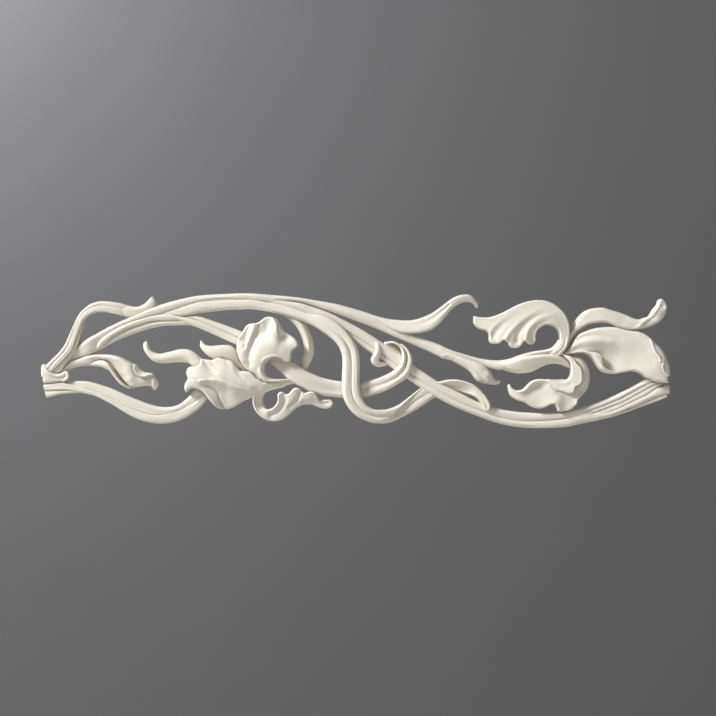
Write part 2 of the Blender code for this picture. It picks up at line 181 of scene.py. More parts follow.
LEFT_LEAVES_STRANDS = (
    ("loop_outer_strand", (0.7, 0.9, 0.3), 0, (
        (-500.5, -16.5, -492.5, -19, 16), (-493.5, -9.5, -487, -15, 19), (-485.5, -1.5, -480, -6.5, 20.5),
        (-474, 9.5, -469.5, 4, 21.5), (-468, 16.5, -461.5, 12.5, 22), (-461.5, 26, -455, 22, 22),
        (-452.5, 46, -448, 43.5, 22), (-442.5, 67.5, -439, 62.5, 22), (-437, 76, -433, 72, 22),
        (-429.5, 83, -425, 78.5, 22), (-422, 88.5, -418, 82.5, 22), (-412.5, 92, -410.5, 85, 22),
        (-401.5, 93.5, -401.5, 85.5, 21), (-377.5, 91, -379, 82.5, 19.5), (-365, 87.5, -366.5, 79, 17.5),
        (-354.5, 85, -356, 77, 13.5))),
    ("loop_middle_strand", (0.9, 0.9, 0.25), 0, (
        (-494, -19, -487.5, -23, 16), (-488, -14.5, -481, -17.5, 19), (-480.5, -5.5, -474, -9.5, 21),
        (-470, 5, -464.5, 0, 22), (-462, 13.5, -456, 9.5, 22.5), (-456, 23, -448.5, 20, 22.5),
        (-448.5, 44.5, -440.5, 43, 22.5), (-440, 63.5, -433, 62, 22.5), (-433.5, 73, -427.5, 69, 22.5),
        (-425.5, 79.5, -421, 73.5, 22.5), (-418.5, 83, -414, 76, 22.5), (-410.5, 86, -407.5, 76.5, 22),
        (-401, 87, -399.5, 76.5, 21.5), (-381, 84, -380, 72.5, 20), (-370, 81.5, -370, 70.5, 18),
        (-357.5, 78.5, -357.5, 70, 13.5))),
    ("loop_inner_strand", (0.88, 0.62, 0.3), 0, (
        (-488, -24, -475, -24, 14), (-482, -17.5, -470, -18.5, 16), (-475.5, -10.5, -463.5, -10.5, 18),
        (-466, -1, -454, 1, 19), (-457, 8.5, -446, 13.5, 19.5), (-450, 19, -440.5, 25.5, 20),
        (-445, 30, -438, 35.5, 20), (-439, 53, -433.5, 55.5, 19), (-435.5, 62, -431.5, 64.5, 18.5),
        (-431, 68.5, -427.5, 69, 17), (-426, 73, -424.5, 71.5, 14))),
    ("loop_tip", (0.74, 0.68, 0.35), 0, (
        (-394.5, 93.5, -397.5, 76.5, 12), (-384.5, 92, -387.5, 74.5, 15.5), (-374.5, 90, -377, 72, 17.5),
        (-365, 87, -366.5, 69, 18.5), (-355.5, 85, -354, 67.5, 18.5), (-346, 85, -341.5, 70, 18),
        (-337.5, 88.5, -328.5, 76, 17), (-331.5, 93.5, -321, 83.5, 16.5), (-327.5, 98, -317.5, 90.5, 15),
        (-325.5, 100.5, -319.5, 97, 11), (-323.5, 101, -321.5, 100, 7))),
    ("folded_rim", (0.8, 0.5, 0.35), 0, (
        (-431, -7.5, -429.5, -9.5, 12), (-422.5, -5.5, -421, -9.5, 15), (-414.5, -2, -412.5, -10, 18),
        (-407, -0.5, -404.5, -11.5, 20.5), (-399.5, -1, -396.5, -15, 22.5), (-392.5, -5, -390.5, -18, 23.5),
        (-387.5, -12, -386.5, -24, 23.5), (-377.5, -27, -376.5, -36.5, 23), (-371, -34.5, -369.5, -42, 22.5),
        (-364, -40.5, -362.5, -45, 20), (-357.5, -44, -356, -45.5, 16))),
    ("folded_tongue", (0.6, 0.6, 0.6), 0, (
        (-332, -28.5, -322.5, -22.5, 16), (-327.5, -32.5, -318, -29, 20), (-326, -38, -315, -35.5, 20),
        (-324.5, -43.5, -315.5, -42, 17), (-322.5, -47.5, -319, -47.5, 10))),
)
LEFT_FLOWER_STRANDS = (
    ("throat_lip", (0.95, 0.55, 0.4), -0.22, (
        (-136, 6.5, -128, 4.5, 30), (-140.5, 5.5, -133.5, 3, 31.5), (-146.5, 1.5, -140, -1, 32),
        (-151, -4, -143.5, -6.5, 32), (-154.5, -10, -144.5, -11, 32), (-156, -16, -144, -16.5, 32),
        (-154.5, -22.5, -141.5, -22.5, 31.5), (-151, -29, -137.5, -27, 30.5), (-145, -34, -133, -29, 29),
        (-136, -35, -126.5, -30, 28), (-126.5, -35, -119, -30, 26), (-115.5, -34, -110, -29.5, 23),
        (-103, -32.5, -101.5, -28, 18))),
)
MIDDLE_STRAPS_STRANDS = (
    ("throat_strap_upper", (0.97, 0.66, 0.2), 0, (
        (-143, 5, -137, 16, 9), (-137.5, -1, -127, 8, 12), (-128, -5.5, -119, 3, 15.5),
        (-119, -11, -111, 0, 19), (-109.5, -18, -103, -2, 22.5), (-99, -25, -93, -7.5, 24.5),
        (-77.5, -36, -73.5, -19.5, 24), (-53, -44, -50.5, -29, 21.5), (-22, -47, -22, -34.5, 18.5),
        (-5, -47.5, -5, -35, 17.5), (12.5, -46.5, 12.5, -35, 17))),
    ("throat_strap_lower", (0.64, 0.97, 0.2), 0, (
        (-147, 2.5, -143.5, 8, 8), (-138.5, -3, -136, 2.5, 11.5), (-129.5, -11, -126.5, -3, 15),
        (-120, -19, -117.5, -9.5, 18.5), (-111.5, -27.5, -108.5, -17, 22), (-103, -34, -99, -23, 24),
        (-82.5, -45.5, -77.5, -34.5, 23.5), (-55.5, -56, -53, -42.5, 21), (-22, -60, -22, -45.5, 18),
        (-5, -61, -5, -46, 17.5), (12.5, -59.5, 12.5, -46.5, 17))),
    ("ring_inner_strand", (0.66, 0.86, 0.45), 0, (
        (-1.5, -35, -1.5, -47, 17), (12.5, -35, 16, -45, 18), (25.5, -31.5, 29.5, -42.5, 20),
        (38, -27.5, 43, -38.5, 22), (50.5, -22, 56.5, -32.5, 24), (62, -14.5, 68, -24, 25.5),
        (69.5, -6, 77, -13, 26.5), (72.5, 4, 80, 0, 26.5), (72, 12.5, 79.5, 10.5, 26.5),
        (69.5, 19.5, 75, 20, 26), (64, 24, 68, 26, 25), (57, 26, 58.5, 30, 23), (51, 25.5, 50, 29, 20),
        (46.5, 24, 45.5, 26.5, 15))),
    ("ring_outer_strand", (0.86, 0.64, 0.45), 0, (
        (-1.5, -46.5, -1.5, -61, 17), (16, -45, 17.5, -58.5, 18), (29.5, -41.5, 33.5, -54, 20),
        (43, -37.5, 50, -47.5, 22), (56.5, -31.5, 66, -38.5, 24), (68, -23.5, 79, -30, 25),
        (77, -12.5, 87, -18, 25.5), (80.5, -0.5, 90, -2.5, 25), (80, 10.5, 88, 8.5, 25),
        (75.5, 19, 82.5, 18, 24.5), (68, 25.5, 73, 26, 21))),
    ("ribbon_right_strand", (0.9, 0.68, 0.15), 0, (
        (-90.5, 77, -89, 83.5, 10), (-82.5, 73, -78.5, 78, 16), (-74.5, 69, -70, 72.5, 21),
        (-62, 63.5, -57, 72, 24), (-49, 55.5, -44.5, 68, 25.5), (-35, 45, -30, 59.5, 27),
        (-22, 35, -18, 49, 28), (-12.5, 22, -8, 37, 29), (-8, 9.5, 0, 24.5, 29.5),
        (-7, -3, 4.5, 11, 30), (-7, -16, 6, -6.5, 30), (-7, -31.5, 5.5, -23.5, 30),
        (-7, -46, 6, -42.5, 30), (-5, -57.5, 9, -57, 29.5), (-1.5, -65.5, 15, -68, 29),
        (5, -74.5, 22, -75, 28), (12.5, -81.5, 31.5, -79, 27), (23, -86.5, 42, -79, 26),
        (33.5, -89.5, 49, -78.5, 25), (44.5, -90.5, 60, -75, 23.5), (55.5, -89.5, 68, -71, 22.5),
        (65, -83.5, 74, -67, 21.5), (79.5, -67.5, 85, -58.5, 19.5), (97.5, -51.5, 100, -46.5, 17),
        (106.5, -46, 108, -42, 14.5))),
    ("ribbon_end_upper", (0.68, 0.9, 0.2), 0, (
        (51, -87.5, 51, -97, 12), (60.5, -80, 61, -89.5, 15.5), (70, -72, 74, -81, 17),
        (92, -53.5, 98.5, -62.5, 17), (105, -44.5, 113, -54, 16), (117.5, -36.5, 125.5, -44.5, 13))),
    ("ribbon_end_lower", (0.9, 0.66, 0.3), 0, (
        (36.5, -96, 38, -101, 13), (49.5, -93.5, 52.5, -100, 14.5), (62, -87, 66.5, -94.5, 16),
        (85, -73, 91.5, -81.5, 17), (97.5, -63.5, 106.5, -72, 17), (112, -54.5, 120.5, -62.5, 16),
        (125.5, -45.5, 133.5, -55, 13))),
    ("strap_lower_strand", (0.84, 0.6, 0.45), 0, (
        (-47.5, 65, -54, 59.5, 12), (-36.5, 58.5, -43, 52.5, 16), (-24, 51, -30, 45, 17.5),
        (5.5, 34, -1, 28, 17.5), (33.5, 16, 25.5, 10, 18), (62, -4.5, 54, -10.5, 18),
        (92, -25, 84, -31.5, 18.5), (124, -43.5, 115, -52, 19.5), (159.5, -64, 151.5, -72, 19.5),
        (192, -77.5, 186.5, -86.5, 19.5), (235, -91.5, 231.5, -102, 19.5), (277.5, -97, 277.5, -108, 19.5),
        (323.5, -93.5, 327, -107, 19), (344.5, -89, 347.5, -103.5, 19), (365, -83.5, 369, -99, 18.5),
        (384, -85.5, 387.5, -95.5, 17.5))),
    ("small_hook", (0.84, 0.7, 0.4), 0, (
        (28, 29.5, 34.5, 31, 17.5), (30, 23, 38.5, 24.5, 22), (30.5, 16, 39.5, 17, 24),
        (27, 9, 39, 8, 25), (23.5, 1.5, 37, 0.5, 24.5), (25.5, -6, 39.5, -3, 23),
        (33.5, -11, 43.5, -3, 21), (43, -10, 48.5, -3, 17), (51.5, -7.5, 54, -1.5, 14))),
    ("end_strand_1", (0.64, 0.78, 0.5), 0, (
        (324, -84, 324, -93, 18), (344.5, -79, 344.5, -89, 19), (371.5, -72.5, 373, -80, 19),
        (411, -57, 414, -64.5, 19.5), (435, -45, 438, -52, 19), (468.5, -26, 473, -33.5, 17.5),
        (484.5, -17.5, 489.5, -24.5, 14))),
    ("end_strand_2", (0.78, 0.78, 0.4), 0, (
        (362, -82.5, 363.5, -86.5, 16), (381, -76.5, 383.5, -82, 18.5), (414, -64, 417.5, -70, 19),
        (449, -45.5, 453, -51.5, 18), (467, -35, 471.5, -42, 17), (485, -25.5, 489.5, -32.5, 13))),
    ("end_strand_3", (0.78, 0.78, 0.4), 0, (
        (375, -82.5, 377, -89, 16), (390.5, -79.5, 393.5, -86.5, 18), (422, -66.5, 427, -73.5, 18.5),
        (454, -50, 459.5, -56.5, 18), (469.5, -41.5, 475, -46.5, 16.5), (485, -32, 489.5, -37.5, 13))),
    ("end_strand_4", (0.76, 0.78, 0.4), 0, (
        (368.5, -85, 371.5, -92, 17), (387.5, -84, 391, -92, 18.5), (406.5, -80, 410.5, -86.5, 18.5),
        (444.5, -63, 448.5, -71, 18.5), (462, -54, 465, -64, 18), (476.5, -45.5, 479.5, -58.5, 17.5),
        (489, -41, 491.5, -55, 17), (497, -39, 498, -53.5, 16.5))),
    ("end_strand_5", (0.78, 0.6, 0.4), 0, (
        (384.5, -90, 386, -95.5, 16), (406.5, -85, 409, -90, 16.5), (430.5, -78.5, 433.5, -82, 16),
        (448, -70, 451, -75.5, 15.5), (480, -58, 483, -64, 15), (493.5, -53.5, 494, -59.5, 14.5))),
)
RIGHT_FLOWER_STRANDS = (
    ("calyx_strand", (0.7, 0.84, 0.4), 0, (
        (128.5, 23, 127, 17.5, 14.5), (136.5, 21, 134.5, 13.5, 18.5), (146, 18, 143.5, 9.5, 19.5),
        (158.5, 13.5, 156.5, 4.5, 19.5), (187.5, 5, 184, -4, 19), (203, 1.5, 200, -9, 19),
        (219, -0.5, 215.5, -13.5, 20.5), (233, 0, 233, -15.5, 22), (245.5, 2.5, 247.5, -6.5, 23),
        (258.5, 7.5, 260, 0, 25), (271, 11.5, 272.5, 5, 26.5), (285, 14.5, 286, 8, 27.5),
        (299, 16.5, 301, 10, 28), (309.5, 19.5, 312.5, 11, 28.5), (316.5, 25.5, 323, 15, 29.5),
        (321, 32.5, 329, 25.5, 30))),
    ("neck_left_strand", (0.7, 0.94, 0.3), 0, (
        (317, 52, 322, 57, 30), (321, 45, 327.5, 49, 31.5), (323, 37, 330.5, 39.5, 32),
        (322.5, 29.5, 330.5, 29.5, 32), (318, 21.5, 327.5, 19, 31), (311, 16, 319.5, 11, 29.5),
        (304, 12, 310.5, 5, 26))),
    ("neck_right_strand", (0.94, 0.66, 0.3), 0, (
        (322, 57, 330.5, 65, 31), (327.5, 49, 335.5, 56, 32.5), (330.5, 39.5, 338.5, 45, 33),
        (330.5, 29.5, 338, 32.5, 33), (327.5, 19, 334.5, 21.5, 32.5), (319.5, 11, 328.5, 12, 30.5),
        (312, 5, 320.5, 4, 27))),
    ("fall_left_rim", (0.62, 0.95, 0.5), 0, (
        (332.5, 8, 334, 13.5, 26), (342, 9, 342.5, 14.5, 28), (353, 10.5, 353, 16, 29.5),
        (362, 10.5, 363, 15, 31), (369, 7.5, 371.5, 12.5, 32.5), (374, 2, 380, 12, 33.5),
        (378.5, -4.5, 386.5, 8, 34), (384, -12.5, 389.5, 1.5, 34), (390, -18, 391, -7, 33.5),
        (398.5, -21, 396, -12.5, 32), (408.5, -22, 404.5, -16.5, 29), (418, -21, 415, -17.5, 26))),
    ("curl_band", (0.9, 0.5, 0.6), -0.1, (
        (332.5, 3, 335.5, 10, 20), (341, -1.5, 345.5, 8.5, 23), (346, -7, 357.5, 4, 25),
        (350, -12.5, 366, -6, 26), (352.5, -20, 370.5, -17.5, 26.5), (352.5, -27.5, 371.5, -30, 26.5),
        (349.5, -35, 369, -43, 26), (343, -41, 363, -52.5, 25.5), (335, -46, 356.5, -59, 25))),
)
LEFT_LEAVES_PLATES = (
    ("end_bract", 0.75, 3.5, (0, 0, 0), (
        (-499, -8.5), (-496.5, -6.5), (-493, -8), (-490, -11.5), (-486, -16.5), (-480.5, -20.5),
        (-474, -22), (-467.5, -20.5), (-463, -18), (-459, -17.5), (-455.5, -20.5), (-454.5, -24.5),
        (-455.5, -29.5), (-459, -33), (-463.5, -35), (-468.5, -34), (-474, -35), (-485, -36.5),
        (-496, -37), (-496, -37), (-497.5, -31.5), (-497.5, -27.5), (-500, -26.5), (-500, -26.5),
        (-500, -17.5)), (
        (-497.5, -9.5, 19), (-497.5, -25.5, 19), (-491.5, -16, 21), (-488, -28.5, 20), (-477, -27, 20),
        (-467.5, -27, 20.5), (-459.5, -24.5, 22), (-494.5, -35, 18)), (
        (-0.2, -2.2, 2, 2.2, ((-494.5, -20), (-491.5, -23), (-485, -26), (-477, -28.5), (-467.5, -29),
         (-461, -27), (-459, -23.5), (-461, -21))),
        (0.2, 1.5, 2, 2, ((-493, -11), (-490, -16), (-485, -22), (-478.5, -25.5), (-469, -25.5))))),
    ("arch_root", 0.5, 6, (0, 0, 0), (
        (-463.5, 12.5), (-454, 16), (-444.5, 21.5), (-436.5, 27.5), (-428.5, 33), (-411, 42.5),
        (-400, 48.5), (-390.5, 53), (-387, 46), (-393.5, 35), (-398.5, 25.5), (-404.5, 18.5),
        (-412.5, 13), (-420.5, 9), (-438, 3), (-447.5, -1), (-457, -5.5), (-466.5, -3)), (
        (-460, 6.5, 12), (-447.5, 11, 14.5), (-435, 19, 18), (-420.5, 28, 19.5), (-406.5, 39, 17),
        (-425.5, 12.5, 17.5), (-414, 18, 16.5), (-409.5, 26, 15.5), (-403, 33.5, 15.5),
        (-393.5, 47.5, 14)), ()),
    ("folded_leaf", 0.5, 5, (0, 0, 0), (
        (-475.5, -18), (-466, -12.5), (-453.5, -1), (-445.5, 1.5), (-437.5, 3.5), (-425, 7.5),
        (-412, 9), (-399.5, 9), (-387, 8), (-374, 4.5), (-364.5, 0), (-352, -7.5), (-345.5, -12.5),
        (-339.5, -18), (-330, -22.5), (-321, -26), (-317, -31.5), (-316.5, -38), (-320.5, -42),
        (-326.5, -41.5), (-333, -41), (-341, -42), (-349, -43), (-356.5, -44.5), (-364.5, -43),
        (-374, -36.5), (-382, -27.5), (-388.5, -18), (-396.5, -12.5), (-404.5, -9.5), (-414, -8.5),
        (-423.5, -9), (-437.5, -10), (-447, -12), (-455, -15), (-463, -19.5), (-472.5, -22)), (
        (-469.5, -17.5, 13), (-445.5, -4, 16), (-421.5, 1, 18.5), (-399.5, 5, 20), (-380.5, 0, 23.5),
        (-368, -6.5, 25), (-363, -19, 24), (-358.5, -31.5, 22), (-347, -36.5, 20), (-333, -33.5, 19),
        (-385.5, -3, 19.5), (-375, -16, 18.5), (-367, -27, 18), (-360, -36.5, 17.5), (-404.5, 0.5, 15),
        (-342.5, -20.5, 20), (-323.5, -35, 16), (-420, -8, 16)), (
        (-1.6, -1.6, 1.6, 1.6, ((-353.5, -9.5), (-352.5, -16), (-349, -23.5), (-342.5, -28),
         (-334.5, -28.5), (-327.5, -27))),
        (-4.2, -3.4, 1.7, 1.3, ((-415.5, -2), (-404.5, -0.5), (-395, -2), (-387, -8), (-381.5, -16.5),
         (-376, -25.5), (-369.5, -34), (-361.5, -41))))),
    ("folded_flap", 0.7, 3, (0, 0, 0), (
        (-354.5, -6.5), (-348.5, -7.5), (-345.5, -10.5), (-340.5, -16), (-336, -19), (-329.5, -20.5),
        (-322.5, -22), (-322.5, -24.5), (-329.5, -25.5), (-334, -27), (-340.5, -27.5), (-346, -25.5),
        (-350, -21), (-353, -14)), (
        (-351, -11, 23), (-348.5, -19, 25), (-342, -25.5, 25.5), (-331, -23.5, 24), (-324.5, -23, 21),
        (-345.5, -12.5, 20), (-339, -20, 20), (-332.5, -22, 21)), (
        (1.6, 1.6, 1.3, 1.3, ((-352, -12.5), (-349, -20.5), (-344.5, -24.5), (-337.5, -26),
         (-328, -24))),)),
)
LEFT_FLOWER_PLATES = (
    ("falling_petal", 0.76, 3, (0, 0, 0), (
        (-261, -10), (-265.5, -12), (-268, -16), (-269, -20.5), (-267, -27), (-267, -30.5),
        (-269.5, -35), (-271.5, -39.5), (-272, -44), (-270.5, -49), (-269, -51), (-266.5, -48.5),
        (-261, -45), (-254.5, -45), (-248, -47.5), (-242, -51), (-237, -57), (-232.5, -63),
        (-227.5, -69), (-223, -73.5), (-216.5, -77), (-208.5, -78), (-200.5, -77.5), (-194.5, -75),
        (-186.5, -70.5), (-178.5, -65.5), (-170.5, -62), (-155, -56), (-147, -53), (-139, -49.5),
        (-131, -47), (-117, -43.5), (-109, -40), (-95, -35), (-95, -27), (-104.5, -29), (-115.5, -32),
        (-123.5, -34), (-133, -34.5), (-142.5, -35), (-147, -34.5), (-151.5, -32), (-156.5, -29),
        (-161, -24), (-166, -20), (-170.5, -18.5), (-177, -17.5), (-183.5, -17), (-187.5, -12.5),
        (-191.5, -7.5), (-196, -2.5), (-202.5, 0), (-210, 1.5), (-216.5, 4), (-223, 2.5), (-229, 0),
        (-235.5, 0.5), (-242, 1.5), (-246.5, 2), (-246.5, 2), (-247, -3), (-249.5, -7.5),
        (-254.5, -10)), (
        (-262.5, -14, 29), (-265.5, -20.5, 29.5), (-259, -23.5, 32), (-253, -17.5, 31.8),
        (-246.5, -27, 34), (-240.5, -17.5, 31.8), (-242, -4.5, 29), (-262.5, -35, 32), (-267, -44, 30),
        (-253, -35.5, 33.5), (-231, -23.5, 32), (-235.5, -1.5, 26.8), (-226, -2.5, 27),
        (-216.5, 0, 27), (-207, -1.5, 27.5), (-197.5, -6.5, 28), (-234, -9.5, 28.5),
        (-223, -17.5, 30.8), (-208.5, -9.5, 29.8), (-194.5, -11, 29.6), (-202.5, -22, 31.8),
        (-186.5, -30, 31.8), (-174, -36.5, 31), (-174, -23.5, 29.8), (-164.5, -30, 29.4),
        (-178.5, -19.5, 29), (-155, -36.5, 28.8), (-238.5, -31.5, 34), (-226, -32.5, 34.3),
        (-212, -35, 34), (-197.5, -41, 33), (-183.5, -45, 31.5), (-167.5, -47, 29.3), (-148.5, -44, 27),
        (-133, -41, 23.5), (-114, -36.5, 20.5), (-98, -31.5, 17), (-256, -44.5, 31),
        (-246.5, -44.5, 31.5), (-238.5, -49, 31.5), (-232.5, -57, 31), (-226, -65, 30),
        (-219.5, -71, 27.5), (-212, -76, 23.5), (-237, -41, 28.3), (-227.5, -43, 27.3),
        (-219, -50, 25.6), (-214, -58.5, 24.2), (-211, -66.5, 22.8), (-204, -72.5, 21),
        (-204, -48, 27), (-196, -60, 24), (-188, -67, 21.8), (-183.5, -55.5, 24.8),
        (-167.5, -53.5, 24), (-158, -52, 23.3)), (
        (1.5, 0.05, 2, 2.8, ((-246.5, -33), (-234, -31.5), (-221.5, -32.5), (-208.5, -36), (-196, -41.5),
         (-183.5, -45.5), (-167.5, -47.5), (-151.5, -47), (-136, -43.5))),
        (-1, -0.1, 2.6, 3, ((-226, -25.5), (-208.5, -30.5), (-194.5, -36.5), (-180, -41), (-164.5, -43.5))),
        (0.9, 0.1, 2.2, 2.4, ((-216.5, -21.5), (-204, -27.5), (-191.5, -33.5), (-177, -38.5), (-161, -41))),
        (-2.6, -0.1, 3.4, 3.8, ((-243.5, 6.5), (-237, -6.5), (-227.5, -17.5), (-215, -26))),
        (-2.1, -0.1, 2.6, 3, ((-193, 0), (-189, -14), (-181, -27), (-167.5, -36.5))),
        (-1.6, -0.6, 2.4, 2.6, ((-272, -29), (-262.5, -29.5), (-251.5, -31.5))),
        (-1.7, -0.1, 2, 2.4, ((-231, 4), (-226, -5.5), (-216.5, -14))),
        (-1.4, -0.1, 2, 2.2, ((-206.5, 4), (-204, -5.5), (-197.5, -14))),
        (-0.6, -3.2, 1.3, 2.2, ((-253, -35), (-242, -40), (-232.5, -42.5), (-224.5, -46), (-218.5, -53),
         (-216, -61.5), (-212.5, -69.5), (-205.5, -80.5))))),
    ("hood", 0.82, 3, (0.5, 1.5, 1.2), (
        (-189, 22), (-189, 16), (-187, 8), (-184, 0), (-180, -7), (-174.5, -14), (-169, -17.5),
        (-163.5, -20.5), (-158.5, -25.5), (-154, -31.5), (-150, -31.5), (-150, -19), (-148.5, -11),
        (-145.5, -4.5), (-140.5, 0), (-136, 2.5), (-130.5, 4.5), (-124.5, 4), (-119, 1.5), (-115, -2),
        (-111.5, -3.5), (-107.5, -2.5), (-104, -0.5), (-102.5, 4), (-102.5, 10.5), (-100, 15.5),
        (-95.5, 19), (-92.5, 23.5), (-93, 29), (-96.5, 34), (-102, 38), (-108, 42), (-113.5, 46),
        (-117, 50.5), (-120.5, 57.5), (-124, 63), (-129.5, 66.5), (-136, 68.5), (-141.5, 68),
        (-147, 65.5), (-151.5, 61.5), (-158, 58.5), (-165, 58), (-170.5, 56.5), (-175.5, 52),
        (-178.5, 46.5), (-182.5, 40.5), (-187, 34.5)), (
        (-186.5, 28.5, 29), (-182.5, 36.5, 30), (-180, 23.5, 31.5), (-180, 11, 31.5), (-185.5, 12.5, 29),
        (-178.5, 0, 30.5), (-173.5, -11, 28), (-183, 1.5, 29), (-159.5, -17.5, 28.5), (-154.5, -25.5, 26),
        (-171.5, 47.5, 26.6), (-173.5, 39.5, 27), (-175.5, 31, 28.3), (-175.5, 22, 30.5),
        (-177, 45, 27.8), (-169, 54, 27.8), (-160.5, 53.5, 32), (-164, 44, 32.7), (-168, 35, 32.8),
        (-171, 27, 32.8), (-173.5, 17.5, 32), (-152.5, 53.5, 29.8), (-155, 44, 29), (-158.5, 35, 28.5),
        (-163.5, 25.5, 29), (-166.5, 16, 29.5), (-169, 5, 29.3), (-168, -6.5, 28.3), (-145.5, 59, 29),
        (-145.5, 50.5, 28.6), (-138.5, 55.5, 27.8), (-140, 46.5, 28.8), (-147.5, 38.5, 30.2),
        (-136, 62.5, 29.6), (-153, 29, 34.2), (-158, 20.5, 34.2), (-161, 11, 33.8), (-162.5, 0, 32.7),
        (-161, -11, 30.7), (-144.5, 26, 36.3), (-148.5, 16, 37), (-136, 20.5, 37.8), (-137.5, 32.5, 35.3),
        (-132, 41, 34.4), (-130.5, 53.5, 33.4), (-131, 63, 32), (-124.5, 28.5, 37), (-123, 16, 36.5),
        (-135, 9.5, 37), (-148.5, 6.5, 36), (-128, 46, 35), (-121.5, 53.5, 31.5), (-117.5, 46, 31.5),
        (-113.5, 22, 35.5), (-104, 19, 34.5), (-109, 9.5, 35), (-110.5, 1.5, 33.5), (-96.5, 28.5, 31.8),
        (-98.5, 22, 32.5), (-102.5, 37, 30), (-110.5, 36.5, 27.5), (-115.5, 32.5, 29.3),
        (-106.5, 30.5, 29.8), (-111.5, 27.5, 31), (-118.5, 38, 31.3), (-115.5, 40.5, 29.8)), (
        (-1.5, -0.8, 1.6, 1.6, ((-167.5, 59), (-170.5, 49), (-173, 39.5), (-175.5, 30), (-176, 20.5))),
        (0.7, 0.7, 2.2, 2.2, ((-160.5, 59), (-163.5, 47.5), (-167.5, 36.5), (-171, 26), (-173.5, 16))),
        (-0.9, -0.7, 2.6, 2, ((-151.5, 57), (-157, 39.5), (-162.5, 27), (-166.5, 16), (-169.5, 3),
         (-168, -9.5))),
        (1.6, 1.1, 1.2, 1.3, ((-131.5, 67), (-128, 60), (-125.5, 54.5), (-126, 47.5), (-123.5, 39.5))),
        (-1.2, -0.8, 1.8, 2, ((-123, 62.5), (-120, 53), (-117.5, 46))),
        (1.2, 1.2, 1.6, 1.6, ((-147, -0.5), (-141.5, 3.5), (-134, 6), (-126.5, 6.5), (-118.5, 3))),
        (-1.4, -1.2, 2, 2.4, ((-117.5, 36.5), (-111.5, 37), (-104, 34))))),
    ("throat_wall", 0.9, 2, (0, 0, 0), (
        (-147.5, -1.5), (-143.5, 2.5), (-138, 7), (-125.5, 10.5), (-112.5, 5), (-104.5, 0), (-109.5, -8),
        (-119, -5.5), (-127, -2), (-134, -1), (-139, -1.5), (-143.5, -5), (-147.5, -6.5)), (
        (-145, -3, 17), (-136.5, 4, 20), (-119, 2.5, 22), (-127, 1, 17), (-138, -0.5, 15),
        (-111, -1.5, 22)), ()),
    ("scroll_leaf", 0.75, 2.5, (0.3, 1.5, 1.2), (
        (-163, -57), (-164, -63.5), (-163.5, -69.5), (-161, -77.5), (-156.5, -84.5), (-150.5, -90.5),
        (-142.5, -95), (-134.5, -97), (-126.5, -97), (-118.5, -95), (-111.5, -91), (-104.5, -85.5),
        (-98, -79), (-92, -74.5), (-85.5, -71.5), (-77.5, -70.5), (-69.5, -71), (-63.5, -73.5),
        (-57, -76), (-49, -77.5), (-42.5, -76.5), (-38, -73), (-36.5, -68), (-38.5, -64.5), (-42, -63),
        (-47.5, -63), (-54, -63.5), (-58, -64), (-60, -60), (-62.5, -56), (-65, -52), (-69.5, -50),
        (-76, -50.5), (-81.5, -52), (-84.5, -50), (-88.5, -46), (-92, -44.5), (-96.5, -44),
        (-100.5, -46.5), (-105.5, -52), (-108.5, -54), (-111.5, -54), (-114, -52), (-116.5, -50.5),
        (-119.5, -50.5), (-122.5, -52), (-124.5, -55.5), (-124, -60), (-124.5, -65.5), (-127, -70.5),
        (-131, -75), (-135.5, -77.5), (-141, -78), (-145, -75), (-147.5, -70.5), (-148.5, -64),
        (-147.5, -58.5), (-145.5, -52), (-152, -46), (-161.5, -47.5)), (
        (-163, -60, 25), (-162, -69.5, 26), (-157.5, -79, 26.5), (-150.5, -87, 26), (-139.5, -92.5, 25),
        (-126.5, -93.5, 24), (-115.5, -89.5, 23), (-104.5, -80.5, 22), (-93.5, -73, 21),
        (-80.5, -68, 20.5), (-66.5, -69.5, 20), (-55.5, -73.5, 19.5), (-46, -75, 19), (-39.5, -70.5, 19),
        (-39.5, -65.5, 18.5), (-156.5, -58.5, 20.5), (-155, -68, 20.5), (-150.5, -60, 15),
        (-149.5, -69.5, 15), (-145.5, -76, 19), (-149, -80.5, 25), (-141, -81, 26), (-133, -77.5, 26.5),
        (-126.5, -70.5, 27), (-122.5, -61.5, 27.5), (-121.5, -54, 27), (-118, -52, 26.5),
        (-115.5, -60, 25.5), (-117, -69.5, 25), (-123.5, -79, 24.2), (-134.5, -87, 24.2),
        (-108.5, -61.5, 25.5), (-111, -73, 25), (-120.5, -83, 24), (-103, -52, 27.5), (-96, -47.5, 28),
        (-99, -58, 27), (-90, -52, 26), (-92.5, -61.5, 24.5), (-101.5, -69.5, 23.5), (-82.5, -57, 25.5),
        (-87, -63.5, 24.5), (-74.5, -53, 26.5), (-73, -60, 25), (-65.5, -58.5, 25), (-77.5, -62.5, 24.5),
        (-60, -66.5, 22), (-54, -67.5, 19.5), (-47.5, -68, 19), (-42.5, -67.5, 18.8)), (
        (0.9, 0.9, 2, 2, ((-156, -76.5), (-149, -80.5), (-141, -80.5), (-133, -77.5), (-127, -71),
         (-124, -61.5), (-122.5, -54.5))),
        (-1.6, -1.8, 3, 3.6, ((-115, -55.5), (-111.5, -62.5), (-114, -71), (-122, -80.5), (-134.5, -87))),
        (-2.4, -1.2, 2.6, 3.2, ((-88.5, -50), (-90, -58.5), (-96, -66.5), (-106, -74.5))),
        (-1.2, -1, 2, 2, ((-54.5, -67), (-49, -68.5), (-42, -67.5))),
        (1, 0.8, 1.4, 1.6, ((-163, -60), (-161.5, -69.5), (-157.5, -79))),
        (-0.7, -0.7, 2.2, 2.2, ((-68, -56), (-64, -62.5), (-59.5, -68))))),
)
